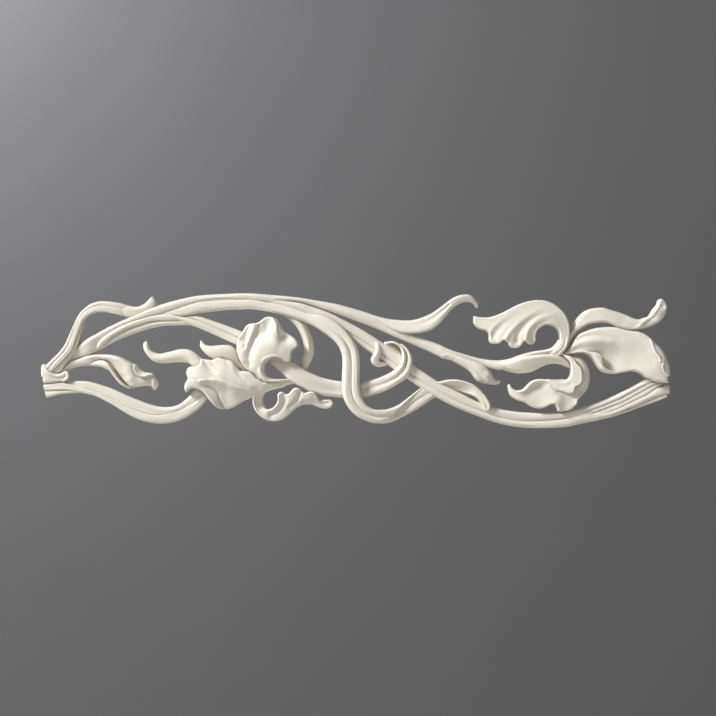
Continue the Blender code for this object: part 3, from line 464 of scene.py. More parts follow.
MIDDLE_STRAPS_PLATES = (
    ("ring_hollow", 0.6, 2, (0, 0, 0), (
        (44.5, 27.5), (52.5, 29), (62, 27.5), (71.5, 22), (76.5, 12.5), (74.5, 3), (66.5, 9.5),
        (55.5, 16.5), (46, 23)), (
        (47.5, 25.5, 15), (57, 23, 11), (66.5, 16, 10), (71.5, 8, 12)), ()),
    ("hooked_leaf", 0.6, 3, (1.1, 2, 1.5), (
        (123.5, -36.5), (134.5, -34), (145.5, -31.5), (160, -31), (174, -34), (188.5, -40), (199.5, -49),
        (207.5, -58.5), (212.5, -68), (213.5, -74.5), (211, -80), (206, -82.5), (203, -80),
        (199.5, -71.5), (194.5, -64), (188.5, -59), (180.5, -55.5), (171, -53), (160, -49.5),
        (149, -46), (133, -42)), (
        (126.5, -38, 17), (145.5, -34, 22), (160, -35, 24.5), (174, -38, 26), (188.5, -46, 27),
        (199.5, -55.5, 27), (207.5, -66.5, 26.5), (208.5, -77.5, 24), (152, -41.5, 15),
        (164.5, -45.5, 15), (177.5, -50.5, 18), (188.5, -57, 23), (196.5, -64, 24.5),
        (202.5, -74.5, 24)), (
        (-1.6, -1.6, 2, 2, ((142.5, -39), (153.5, -40.5), (164.5, -43))),)),
    ("swan_leaf", 0.6, 3.6, (0, 0, 0), (
        (16, 71.5), (27, 71.5), (38, 68.5), (54, 65), (69.5, 63.5), (82.5, 63), (95, 64.5), (107.5, 68.5),
        (120.5, 74.5), (133, 83), (144, 91.5), (152, 97.5), (161.5, 102), (169.5, 104), (179, 104),
        (187, 100), (192, 94.5), (194.5, 88.5), (194, 83.5), (191.5, 82), (188.5, 86.5), (184, 91),
        (176, 92.5), (165.5, 90), (158, 85.5), (150.5, 79), (142.5, 69), (133, 58), (120.5, 48.5),
        (107.5, 44), (93.5, 42), (79, 42), (68, 44), (58.5, 47.5), (49, 52.5), (39.5, 58.5),
        (28.5, 63.5)), (
        (22, 68, 19), (44.5, 62.5, 20.5), (69.5, 59.5, 21.3), (69.5, 47.5, 23.6), (98, 61, 22.3),
        (98, 48.5, 24.8), (120.5, 69, 22.6), (123.5, 58.5, 24.8), (142.5, 81, 23.5), (158.5, 95, 22.5),
        (174.5, 98, 20), (187, 94.5, 17), (191.5, 85.5, 13)), (
        (-0.1, -1.8, 2.5, 1.8, ((88.5, 56.5), (104.5, 58.5), (117.5, 63.5), (128.5, 71.5), (138, 79),
         (148, 88))),
        (0.1, 1.2, 2.5, 1.8, ((95, 50), (114, 55), (127, 63), (138, 73), (149, 84.5))))),
    ("bud", 0.45, 6, (0, 0, 0), (
        (126.5, 23), (134.5, 22), (142.5, 18), (155, 12), (168, 6.5), (180.5, 2), (193, -2.5),
        (204.5, -8), (211.5, -14.5), (216, -21.5), (220, -29), (224, -32), (228.5, -31.5), (230, -35),
        (227, -38), (220, -39.5), (210.5, -38.5), (201, -37), (194, -34.5), (188.5, -29), (183, -21),
        (176, -14.5), (164.5, -7.5), (152, -1), (142.5, 2.5), (138.5, 2), (133, 5)), (
        (134.5, 15, 19.5), (142.5, 10.5, 21), (150.5, 7.5, 21.8), (164.5, 0, 24), (180.5, -6.5, 26),
        (196.5, -14, 27.5), (209, -23.5, 27), (217, -33, 22), (226.5, -35, 15), (190, -22, 25.5),
        (199.5, -31.5, 24.5), (207.5, -15, 25)), (
        (-1.2, -3.6, 1.7, 2.1, ((155, 2.5), (169.5, -5), (182, -13.5), (193, -23), (204.5, -34))),
        (0.2, 1.6, 2.4, 2.2, ((164.5, 1), (180.5, -8.5), (195, -19), (210.5, -33))))),
)
RIGHT_FLOWER_PLATES = (
    ("calyx_bulb", 0.5, 7, (0, 0, 0), (
        (209, -3), (223, -1.5), (237.5, -1), (250, 2.5), (262.5, 7), (278.5, 9.5), (296, 11),
        (311.5, 11), (324.5, 8.5), (334, 3), (340, -4), (340.5, -12.5), (336, -11.5), (327.5, -8),
        (316.5, -6), (304, -7.5), (291, -13), (279, -19), (267.5, -21), (254.5, -21), (240.5, -18),
        (228, -14), (218.5, -13), (209, -9.5)), (
        (212, -6.5, 18), (228, -6.5, 21.5), (243.5, -7, 26), (259.5, -6.5, 29), (283, -1.5, 30),
        (307, 2.5, 29), (326, 1.5, 28), (337, -6.5, 24)), ()),
    ("shell_petal", 0.78, 3, (0.6, 1.6, 1.3), (
        (187, 70), (187, 70), (192.5, 68.5), (202, 67.5), (211.5, 68), (222.5, 71), (232, 75),
        (243, 80.5), (254.5, 86.5), (265.5, 91), (278, 94), (290.5, 95), (301.5, 93.5), (311, 90),
        (320.5, 83.5), (328.5, 76), (334, 66.5), (337.5, 55.5), (338.5, 44), (337, 33), (334, 23.5),
        (327, 22), (323, 30), (322.5, 38), (320.5, 46), (316, 52), (308.5, 55.5), (300, 55.5),
        (292, 51.5), (286.5, 46), (284.5, 38), (284.5, 31.5), (282.5, 27), (278.5, 24.5), (274, 25.5),
        (271.5, 27.5), (268.5, 30), (265.5, 29), (263.5, 25.5), (260, 21.5), (253.5, 19), (247, 20),
        (243, 23), (241, 28), (237.5, 31), (234, 31.5), (231, 29.5), (226, 26), (220.5, 25.5), (214, 27),
        (211.5, 31.5), (211, 38), (210, 42.5), (207, 46), (201.5, 48), (195, 50), (190.5, 53.5),
        (187, 58.5), (186.5, 64)), (
        (191, 65, 25), (196, 55.5, 25), (205.5, 61.5, 27), (208.5, 49, 27), (211.5, 36.5, 27),
        (219.5, 27, 26.5), (222.5, 66.5, 29.5), (235.5, 73.5, 31.5), (251, 80.5, 33.5), (270, 87.5, 34.5),
        (290.5, 89, 35), (309.5, 82, 35.5), (323.5, 71, 35.5), (331.5, 58.5, 34.5), (335, 44, 33),
        (331.5, 30, 31.5), (323.5, 49, 34), (311, 63, 36.5), (298.5, 74, 37), (298.5, 60, 35.5),
        (282.5, 52, 34), (281, 31.5, 29.5), (270, 38, 32), (254.5, 25.5, 28.5), (249.5, 39.5, 30.5),
        (260.5, 53.5, 33), (278, 66.5, 36), (227.5, 30, 29), (229, 47.5, 29.5), (241.5, 63, 32.5),
        (259, 72.5, 34.5)), (
        (-2.2, -0.2, 5, 5, ((218.5, 38), (225, 48), (233.5, 57), (245, 65), (259, 74))),
        (2.3, 0.3, 3.4, 5, ((235, 30), (241, 40.5), (248.5, 50), (258, 59), (271, 69), (287.5, 78))),
        (-2.7, -0.2, 4.8, 5, ((254.5, 30), (257, 42.5), (264.5, 53.5), (275.5, 63), (290, 71),
         (305, 76.5))),
        (2.3, 0.4, 3.2, 4.6, ((269, 30), (269.5, 39.5), (273, 49), (281, 58.5), (293, 66.5), (311, 71))),
        (-1.8, -0.3, 3.4, 4, ((279.5, 28.5), (278.5, 38.5), (282, 47.5), (290, 54), (300, 59))),
        (0.8, 0.1, 2.4, 3, ((211.5, 42), (216.5, 51), (226, 59), (238.5, 66.5))))),
    ("top_petal", 0.66, 4.2, (0, 0, 0), (
        (332, 28.5), (335, 39.5), (340, 47.5), (346, 57), (354, 69), (363.5, 77.5), (373, 81.5),
        (382.5, 83), (392, 83), (404.5, 79.5), (417.5, 75.5), (430, 71), (441, 66), (450.5, 64.5),
        (457, 67), (465, 69.5), (468.5, 74.5), (472, 80.5), (476.5, 85.5), (479, 89.5), (480, 94),
        (483.5, 97), (488.5, 95), (492.5, 90), (493.5, 84), (492, 76), (487.5, 67), (480.5, 60),
        (471, 54.5), (460, 50.5), (446, 48), (430, 47.5), (419, 50), (409.5, 53.5), (401.5, 57),
        (392, 59), (381, 58.5), (370, 56.5), (359, 51), (349.5, 44), (343, 35), (336.5, 25.5)), (
        (335, 31.5, 24), (348, 50.5, 28), (363.5, 71, 29.5), (368.5, 61.5, 31), (381, 76.5, 29.7),
        (385.5, 64, 32.3), (404.5, 73.5, 29.8), (406.5, 61, 32.3), (427, 65.5, 29), (430, 54, 31.5),
        (442.5, 58.5, 29.5), (450.5, 59.5, 29.5), (458.5, 56, 27.8), (468.5, 59.5, 27),
        (470, 66.5, 25.8), (474, 74.5, 29), (480, 69, 27.5), (482, 78, 28.8), (485, 85.5, 25.4),
        (481.5, 91.5, 28), (488, 92, 27.5), (491, 82, 26.5), (485.5, 70.5, 26.5), (476, 61, 26)), (
        (1.4, 1.3, 2.4, 1.9, ((436.5, 47.5), (446, 52), (453, 58), (459, 63), (465.5, 68.5))),
        (1.4, 1.4, 1.7, 1.5, ((468, 70), (472.5, 76.5), (477, 81.5), (479, 86.5), (481, 91.5),
         (483.5, 96.5))),
        (-1.2, -1.2, 1.3, 1.5, ((466.5, 65), (473, 68.5))),
        (-1.3, -1.2, 1.3, 1.5, ((482, 87.5), (487.5, 84))),
        (-0.7, -0.5, 1.3, 1.5, ((475.5, 77.5), (478.5, 74))))),
    ("end_petal", 0.72, 4, (0, 0, 0), (
        (328.5, 9.5), (335, 16), (339.5, 23.5), (346, 34), (352.5, 41), (363.5, 46), (374.5, 50),
        (385.5, 52), (398, 53), (411, 52.5), (423.5, 49.5), (436, 47), (448.5, 45), (458, 41), (466, 35),
        (474, 28), (482, 20.5), (487.5, 13.5), (491.5, 5), (495, -4), (497, -12.5), (497.5, -24.5),
        (497.5, -24.5), (495.5, -25.5), (495, -36.5), (495, -36.5), (486.5, -36), (478.5, -35),
        (471, -33), (464.5, -30), (459, -27.5), (453.5, -23), (445.5, -19), (437.5, -17.5), (428, -19),
        (418.5, -20.5), (407.5, -19.5), (398, -17.5), (392, -12.5), (387, -4.5), (380.5, 4),
        (371.5, 8.5), (360, 11.5), (349, 12), (338, 8.5)), (
        (335, 14, 27), (346, 26, 29), (357, 36.5, 29.5), (373, 43.5, 30.3), (392, 46.5, 30.5),
        (411, 46, 31), (429.5, 42, 31.7), (448.5, 38, 32.6), (461.5, 34, 33.3), (354, 20.5, 30),
        (369.5, 27, 32), (385.5, 29, 32.6), (404.5, 27, 32.3), (425, 23.5, 32.4), (445.5, 20.5, 32.6),
        (459.5, 16, 33.4), (363.5, 16, 29.8), (376, 15.5, 28.3), (385.5, 15, 26.5), (396.5, 16.5, 27.5),
        (379, 8, 25), (385.5, -1.5, 23.2), (390, -11, 23), (392.5, 9.5, 24.4), (395, 0, 23.2),
        (396.5, -9.5, 23), (404.5, -17.5, 24.4), (404.5, 5, 24.1), (407, -5.5, 23.2), (411, -14, 24.2),
        (418.5, 13.5, 28.8), (420, 0, 26.6), (418.5, -12.5, 25.6), (434.5, 8, 30.5), (434.5, -9.5, 28.2),
        (452, -1.5, 32.8), (467.5, 0, 34.8), (461.5, -14, 34), (474, -12.5, 36), (474, -27, 33.5),
        (486.5, -28.5, 33.5), (466, 25.5, 34.6), (471, 12.5, 35.2), (477, 3, 35.8), (482.5, -6.5, 36),
        (485, -17.5, 35), (471, 29, 33.6), (476.5, 19, 33.6), (482, 9.5, 33.6), (486.5, 2, 33.6),
        (477, 26.5, 31), (485, 16, 31), (490, 5.5, 31), (494, -4, 31), (490, -6.5, 33), (490.5, -14, 33),
        (496, -12.5, 31), (496.5, -22, 32)), (
        (1.3, 1.7, 1.6, 1.4, ((456.5, 42.5), (463, 36.5), (466.5, 30.5), (468.5, 23.5), (471, 16),
         (474.5, 10), (478.5, 5), (480, -0.5))),
        (1.5, 1.3, 1.4, 1.5, ((480.5, -2), (485.5, -2.5), (484.5, -7.5), (484.5, -12.5), (488, -19),
         (494.5, -24.5))),
        (0.9, 0.7, 1.2, 1.2, ((393.5, -15.5), (404.5, -19), (418.5, -19), (436, -15.5))),
        (1.3, 0.5, 3, 4.5, ((341.5, 20.5), (357, 27.5), (376, 30), (401.5, 28.5))),
        (-1.7, -0.5, 3, 4.5, ((352.5, 34), (369.5, 38.5), (390, 38), (417, 32.5))),
        (-1, -0.4, 2.6, 3, ((347.5, 16.5), (365, 20), (382.5, 20.5))))),
    ("curl_strap", 0.88, 2.2, (0.5, 1.4, 1.1), (
        (322, 10), (327, 7.5), (333, 2.5), (338.5, -4), (340, -11), (340.5, -19), (338.5, -27),
        (334, -31.5), (327, -34), (319, -34.5), (311, -32.5), (303, -31), (305.5, -38), (311, -45),
        (317.5, -48), (323.5, -49), (331.5, -52), (338, -53), (344, -51), (345.5, -46.5), (348, -42),
        (352.5, -40), (357, -34), (358, -25), (357, -16), (354.5, -10), (349.5, -5.5), (345.5, 1),
        (339.5, 6), (331.5, 8.5), (325, 12)), (
        (327, 7, 28), (334.5, 3, 31), (342, -1.5, 32.5), (347.5, -9.5, 34), (344, -16, 33.5),
        (353.5, -19, 34.5), (343.5, -27, 33.5), (355, -30, 34.5), (349.5, -37, 34), (338, -36.5, 33),
        (328.5, -38.5, 32), (342, -44, 34), (331.5, -48, 32.5), (319, -42.5, 31), (309.5, -36.5, 30),
        (340, -49.5, 33.5), (346.5, -1, 32.5)), (
        (-0.8, -0.5, 2.2, 2.6, ((339.5, -38.5), (333, -42), (323.5, -41))),)),
    ("curled_cup", 0.7, 3, (0, 0, 0), (
        (318, -31), (308.5, -31), (300.5, -30.5), (292.5, -30), (284.5, -31), (278.5, -33.5),
        (273.5, -38), (269.5, -42.5), (265, -46.5), (259.5, -48), (253, -47.5), (248.5, -44.5),
        (245.5, -41), (243.5, -38.5), (241.5, -40.5), (241.5, -46), (243, -52), (246, -57.5),
        (251.5, -61.5), (259.5, -65), (269, -68), (275, -72), (281.5, -75.5), (289.5, -77), (297.5, -76),
        (304.5, -73), (310, -70.5), (315.5, -70.5), (317, -73.5), (318.5, -77.5), (319, -80),
        (330.5, -81.5), (341.5, -79), (347, -73.5), (350.5, -69.5), (352.5, -62.5), (357.5, -57),
        (360.5, -50.5), (354.5, -38), (338.5, -31.5)), (
        (243.5, -44.5, 24), (248.5, -52, 25), (254.5, -58.5, 26), (253, -50, 26), (266, -62.5, 27),
        (275, -68, 27.5), (286.5, -73, 27), (297.5, -72, 27), (305.5, -68, 28), (315, -66.5, 29),
        (318.5, -74.5, 28.5), (258, -50.5, 27.5), (266, -46.5, 28.5), (275, -38.5, 29), (284.5, -33.5, 29.5),
        (294, -32.5, 29.5), (302, -35, 29), (307.5, -41, 28.8), (313, -46, 28.8), (321, -50, 28.6),
        (269, -54, 25), (276, -47, 23.8), (281.5, -41.5, 23.6), (288, -38.5, 24), (296, -41, 25),
        (284.5, -49, 23.6), (294, -50.5, 24.3), (303.5, -53, 25.6), (313, -57, 27.3), (275, -60, 25),
        (288, -61.5, 24.8), (299, -62.5, 25.9), (310, -63.5, 27.4), (288, -69, 25.8), (324.5, -59.5, 28),
        (331.5, -63.5, 26.2), (336, -70.5, 25), (327.5, -71, 25.8), (329, -77.5, 25), (343.5, -63.5, 26.3),
        (350.5, -63.5, 28), (346.5, -71, 26), (354.5, -57, 26.5), (316.5, -38, 26), (330.5, -39.5, 25),
        (346.5, -41, 24), (357.5, -47.5, 24), (362, -44.5, 22)), (
        (0.9, 1.3, 1.6, 1.9, ((246, -43.5), (252.5, -49), (259.5, -50), (266, -46.5), (273, -40),
         (281, -35), (291, -33), (300, -34.5), (305.5, -39.5), (309.5, -45), (316.5, -49))),
        (1, 0.6, 3, 3, ((306, -41), (313, -50.5), (322.5, -57))),
        (1, 0.8, 1.8, 1.8, ((356, -57), (351, -64), (346.5, -72))),
        (0.8, 0.8, 1.6, 1.6, ((313, -67.5), (317, -71), (319, -78.5))))),
)

MM = 0.001
NODE = "moulding"
PIECE = "flower_frieze"
PRIMER = "Primed polyurethane"
GUIDES = "Frieze guides"
GUIDE_NOTES = ("along", "section", "edge_a", "edge_b", "rise")  # attributes that only the sweep needs

# Stems. The section is measured on a circle of radius 1.
CREST_FROM = -0.001  # points above this height on the circle make the top
SIDE_SQUARING = 1.3  # how far the lower half is pushed out to make upright sides
LEVEL_POWER = 5.0  # how late a level top rounds over towards its edges
STREAK_ACROSS, STREAK_ALONG = 1.9, 11.0  # how fast the streaks change each way
STREAK_SCALE = 1.6
SEED_STEP = 3.7  # keeps the streaks of one stem unlike those of the next

# Backs of the guides, which differ a little so that neighbours don't end in one plane.
BACK_STAGGER = 0.04  # in millimetres
BACK_TURNS = 17

# Plates, in millimetres.
SPOT_SCALE = 10.0
SPOT_EASE = 0.12  # how far the surface may pass its spots to stay smooth
SPOT_MARGIN = 1.5  # how far it may rise above the highest spot or fall below the lowest
EDGE_RINGS = (0.35, 1.0)  # insets of the rows of points that follow the outline
ROW_SHARE = 0.866  # height of a triangle with equal sides of length 1
RING_SHARE = 0.9  # share of its inset that a point of these rows must keep from the outline
GRID_GAP = 0.45  # clear space between these rows and the grid, as a share of its step
CREASE_STEP = 1.0
FILL_INSIDE = 1  # triangulate what lies inside the outline
FILL_NEAR = 1e-4  # points closer than this become one

# Casting and the shade painted into its hollows and grooves, in metres.
WELD = 1e-6  # points closer than this become one
TRIM_DEPTH, TRIM_REACH = 0.2, 0.5  # the trimming box passes the front and the long edges by far
FEWEST_FACES = 1000  # a casting with fewer than this has failed
SHARP_ANGLE = math.radians(38)
FIELD_STEP = 0.00125  # distance between the rays that measure the relief
FIELD_MARGIN = 0.03
FIELD_FROM = -0.1  # where the rays start
FIELD_END = 1.001  # keeps a look-up inside the last step of the field
# Painted shade: wide hollows and narrow grooves are darkened, and each look sets how one of them is found.
WIDE_SHADE_LOOK = (4.8, 0.0008, 0.009)  # reach in field steps, least depth, further depth to the full painted shade
GROOVE_SHADE_LOOK = (1.5, 0.0003, 0.003)
SHADE_LOOK_WEIGHT = 0.6
LEAST_FILLED = 0.15  # the surroundings count as filled at least this far
FRONT_GAIN, SIDE_SHARE = 1.8, 0.2  # the painted shade fades on faces that turn from the front

# Primer. A noise is its scale, detail and roughness.
NOISE_SPAN = (0.3, 0.7)
# how far the painted shade moves the primer towards its darker, warmer colour
PAINTED_SHADE_STRENGTH = 0.9
PATCH_NOISE = (14.0, 4.0, 0.6)
PATCH_COLOUR = (0.93, 0.925, 0.91, 1)
SHINE_NOISE = (60.0, 3.0, 0.55)
SHINE_SPAN = (0.44, 0.58)
SKIN_NOISE = (420.0, 2.0, 0.5)
SKIN_STRENGTH, SKIN_DEPTH = 0.25, 0.0006
PRIMER_IOR = 1.46

# Studio, in metres. A light is its name, place, aim, side, watts and colour.
STUDIO_HALF = 9
BACKDROP_AT, BACKDROP_TOP, SLAB = 3.6, 5, 0.05
FLOOR_ROUGHNESS, BACKDROP_ROUGHNESS, MOTTLE, MOTTLE_SCALE = 0.8, 0.9, 0.03, 3.0
LIGHTS = (
    ("Key light", (-7.6, -3.8, 6.2), (0, 0, 0), 2.4, 1620, (1.0, 0.99, 0.965)),
    ("Fill light", (2.6, -4.5, -0.2), (0, 0, 0), 2.4, 18, (1.0, 0.95, 0.88)),
    ("Wall light", (-2.0, 2.6, 2.0), (-0.9, 3.6, 0.9), 1.0, 80, (1.0, 1.0, 1.0)),
)
AIR_COLOUR, AIR_STRENGTH = (1.0, 0.965, 0.92, 1), 0.18
LENS_MM, SENSOR_MM, VIEW_END = 100, 36, 100
CAMERA_SHIFT = 0.0032  # to the right and up from the origin


# ---------------------------------------------------------------------------
# Settings
# ---------------------------------------------------------------------------
class FriezeSettings(bpy.types.PropertyGroup):
    """Sizes and colours of the frieze and of its studio."""

    relief: bpy.props.FloatProperty(
        name="Relief", description="How much of the drawn height the relief stands out",
        default=1.0, min=0.3, max=1.3, subtype="FACTOR")
    streaks: bpy.props.FloatProperty(
        name="Streaks", description="Depth of the tool streaks along the stems",
        default=2.2 * MM, min=0.0, max=6 * MM, unit="LENGTH", subtype="DISTANCE")
    strand_step: bpy.props.FloatProperty(
        name="Strand step", description="Distance between the sections of a stem",
        default=2.6 * MM, min=0.5 * MM, unit="LENGTH", subtype="DISTANCE")
    strand_points: bpy.props.IntProperty(
        name="Strand points", description="Points round the section of a stem",
        default=24, min=8, max=48)
    plate_step: bpy.props.FloatProperty(
        name="Plate step", description="Distance between the points of a leaf or a petal",
        default=1.3 * MM, min=0.5 * MM, unit="LENGTH", subtype="DISTANCE")
    back_overlap: bpy.props.FloatProperty(
        name="Back overlap", description="How far each guide passes the flat back before it is trimmed",
        default=4.0 * MM, min=1.0 * MM, unit="LENGTH", subtype="DISTANCE")
    surface_colour: bpy.props.FloatVectorProperty(
        name="Surface colour", description="Off-white primer on the raised surfaces",
        default=(0.80, 0.765, 0.70), min=0.0, max=1.0, subtype="COLOR")
    # Painted shade: this darker, warmer colour stands in for the shade that falls in the hollows and grooves.
    painted_shade_colour: bpy.props.FloatVectorProperty(
        name="Recess colour", description="Warmer tone of the primer where it gathers in the hollows",
        default=(0.47, 0.415, 0.345), min=0.0, max=1.0, subtype="COLOR")
    floor_colour: bpy.props.FloatVectorProperty(
        name="Floor colour", description="Plain pale floor",
        default=(0.54, 0.53, 0.515), min=0.0, max=1.0, subtype="COLOR")
    backdrop_colour: bpy.props.FloatVectorProperty(
        name="Backdrop colour", description="Plain grey backdrop",
        default=(0.092, 0.092, 0.098), min=0.0, max=1.0, subtype="COLOR")
    floor_drop: bpy.props.FloatProperty(
        name="Floor drop", description="Height of the frieze's middle above the floor",
        default=1.3, min=0.2, unit="LENGTH", subtype="DISTANCE")
    lens_distance: bpy.props.FloatProperty(
        name="Camera distance", description="Distance from the lens to the wall plane",
        default=3.173, min=0.5, unit="LENGTH", subtype="DISTANCE")


# ---------------------------------------------------------------------------
# Node trees
# ---------------------------------------------------------------------------
class NodeMaker:
    """Adds nodes to one node tree and wires them."""

    mix_sockets = {"FLOAT": (2, 3, 0), "VECTOR": (4, 5, 1), "RGBA": (6, 7, 2)}

    def __init__(self, tree):
        self.tree = tree

    def node(self, kind, x, y, **props):
        """New node at a place in the tree's layout."""
        made = self.tree.nodes.new(kind)
        made.location = (x, y)
        for key, value in props.items():
            setattr(made, key, value)
        return made

    def put(self, socket, value):
        """Links an output to the socket, or gives the socket a plain value."""
        if isinstance(value, bpy.types.NodeSocket):
            self.tree.links.new(value, socket)
        elif value is not None:
            socket.default_value = value

    def maths(self, operation, a, b=None, c=None, x=0, y=0):
        """Result of one sum."""
        made = self.node("ShaderNodeMath", x, y, operation=operation)
        for socket, value in zip(made.inputs, (a, b, c)):
            self.put(socket, value)
        return made.outputs[0]

    def mix(self, kind, share, first, second, x, y, **props):
        """Value between the first (share 0) and the second (share 1)."""
        made = self.node("ShaderNodeMix", x, y, data_type=kind, **props)
        at_first, at_second, at_result = self.mix_sockets[kind]
        self.put(made.inputs[0], share)
        self.put(made.inputs[at_first], first)
        self.put(made.inputs[at_second], second)
        return made.outputs[at_result]

    def span(self, value, source, target, x, y):
        """Value moved from the source range to the target range."""
        made = self.node("ShaderNodeMapRange", x, y)
        self.put(made.inputs["Value"], value)
        for key, limit in zip(("From Min", "From Max", "To Min", "To Max"), (*source, *target)):
            self.put(made.inputs[key], limit)
        return made.outputs["Result"]

    def noise(self, place, kind, x, y):
        """Noise of one kind (scale, detail, roughness) at the place."""
        made = self.node("ShaderNodeTexNoise", x, y)
        self.put(made.inputs["Vector"], place)
        for key, value in zip(("Scale", "Detail", "Roughness"), kind):
            self.put(made.inputs[key], value)
        return made.outputs[0]

    def store(self, geometry, label, kind, value, x, y):
        """Writes the value on each point under a label."""
        made = self.node("GeometryNodeStoreNamedAttribute", x, y, data_type=kind, domain="POINT")
        for key, given in (("Geometry", geometry), ("Name", label), ("Value", value)):
            self.put(made.inputs[key], given)
        return made.outputs[0]

    def stored(self, label, kind, x, y):
        """Value that each point holds under a label."""
        made = self.node("GeometryNodeInputNamedAttribute", x, y, data_type=kind)
        self.put(made.inputs["Name"], label)
        return made.outputs["Attribute"]


# ---------------------------------------------------------------------------
# Strands: swept by Geometry Nodes
# ---------------------------------------------------------------------------
def strand_sockets(tree):
    """Gives the sweep its inputs and its output; returns each input's identifier by its label."""
    entries = {
        "Geometry": "Geometry", "Step": "Float", "Points": "Int", "First Edge Share": "Float",
        "Second Edge Share": "Float", "Lean": "Float", "Roundness": "Float", "Streaks": "Float",
        "Seed": "Float", "Relief": "Float", "Back": "Float",
    }
    sockets = {}
    for label, kind in entries.items():
        entry = tree.interface.new_socket(label, in_out="INPUT", socket_type="NodeSocket" + kind)
        sockets[label] = entry.identifier
    tree.interface.new_socket("Geometry", in_out="OUTPUT", socket_type="NodeSocketGeometry")
    return sockets


def swept_ribs(make, given):
    """Sweeps a circle of radius 1 along the smooth line through the ribs."""
    line = make.node("GeometryNodeMeshToCurve", -1300, 300)
    make.put(line.inputs["Mesh"], given["Geometry"])
    bend = make.node("GeometryNodeCurveSplineType", -1100, 300, spline_type="CATMULL_ROM")
    make.put(bend.inputs["Curve"], line.outputs[0])
    steps = make.node("GeometryNodeResampleCurve", -900, 300, mode="LENGTH")
    make.put(steps.inputs["Curve"], bend.outputs[0])
    make.put(steps.inputs["Length"], given["Step"])
    reach = make.node("GeometryNodeSplineParameter", -900, 600)
    marked = make.store(steps.outputs[0], "along", "FLOAT", reach.outputs["Length"], -700, 500)
    ring = make.node("GeometryNodeCurvePrimitiveCircle", -1300, -200, mode="RADIUS")
    make.put(ring.inputs["Resolution"], given["Points"])
    make.put(ring.inputs["Radius"], 1.0)
    place = make.node("GeometryNodeInputPosition", -1300, -400)
    kept = make.store(ring.outputs[0], "section", "FLOAT_VECTOR", place.outputs[0], -1100, -200)
    sweep = make.node("GeometryNodeCurveToMesh", -700, 200)
    make.put(sweep.inputs["Curve"], marked)
    make.put(sweep.inputs["Profile Curve"], kept)
    make.put(sweep.inputs["Fill Caps"], True)
    return sweep.outputs[0]


def share_across(make, given, across, up, top):
    """How far each point lies from the first edge (0) towards the second (1)."""
    # below the edges the section is squared out, so the sides stand upright
    wide = make.maths("MULTIPLY", across, SIDE_SQUARING, x=-500, y=-300)
    kept_in = make.maths("MAXIMUM", wide, -1.0, x=-300, y=-300)
    squared = make.maths("MINIMUM", kept_in, 1.0, x=-100, y=-300)
    crest = make.maths("MULTIPLY", up, up, x=-500, y=-700)
    lean_by = make.maths("MULTIPLY", given["Lean"], crest, x=-300, y=-700)
    leaned = make.maths("SUBTRACT", across, lean_by, x=-100, y=-700)
    picked = make.mix("FLOAT", top, squared, leaned, 100, -400)
    return make.maths("MULTIPLY_ADD", picked, -0.5, 0.5, x=300, y=-400)


def streak_depth(make, given, across):
    """Depth of the fine streaks that the modelling tool left along the stem."""
    along = make.stored("along", "FLOAT", -1100, -2200)
    grain = make.node("ShaderNodeCombineXYZ", -700, -2000)
    make.put(grain.inputs[0], make.maths("MULTIPLY", across, STREAK_ACROSS, x=-900, y=-2000))
    make.put(grain.inputs[1], make.maths("MULTIPLY", along, STREAK_ALONG, x=-900, y=-2200))
    make.put(grain.inputs[2], given["Seed"])
    streak = make.noise(grain.outputs[0], (STREAK_SCALE, 1.0), -500, -2000)
    swing = make.maths("SUBTRACT", streak, 0.5, x=-300, y=-2000)
    return make.maths("MULTIPLY", swing, given["Streaks"], x=-100, y=-2000)


def stem_height(make, given, across, up, share):
    """Height of the relief at each point, from the edges, the top and the streaks."""
    edge = make.mix("FLOAT", share, given["First Edge Share"], given["Second Edge Share"], -300, -900)
    rest = make.maths("SUBTRACT", 1.0, edge, x=-100, y=-900)
    # a level top rounds over near its edges only, a round one is domed all the way
    off_middle = make.maths("ABSOLUTE", across, x=-700, y=-1700)
    near_edge = make.maths("POWER", off_middle, LEVEL_POWER, x=-500, y=-1700)
    left = make.maths("SUBTRACT", 1.0, near_edge, x=-300, y=-1700)
    level_top = make.maths("SQRT", make.maths("MAXIMUM", left, 0.0, x=-100, y=-1700), x=100, y=-1700)
    round_top = make.maths("MULTIPLY", up, up, x=-500, y=-1500)
    dome = make.mix("FLOAT", given["Roundness"], level_top, round_top, -300, -1500)
    crown = make.maths("MULTIPLY_ADD", rest, dome, edge, x=100, y=-900)
    streaked = make.maths("MULTIPLY", streak_depth(make, given, across), level_top, x=100, y=-2000)
    drawn = make.stored("rise", "FLOAT", -900, -1300)
    rise = make.maths("MULTIPLY", drawn, given["Relief"], x=-300, y=-1300)
    return make.maths("MULTIPLY_ADD", rise, crown, streaked, x=300, y=-900)


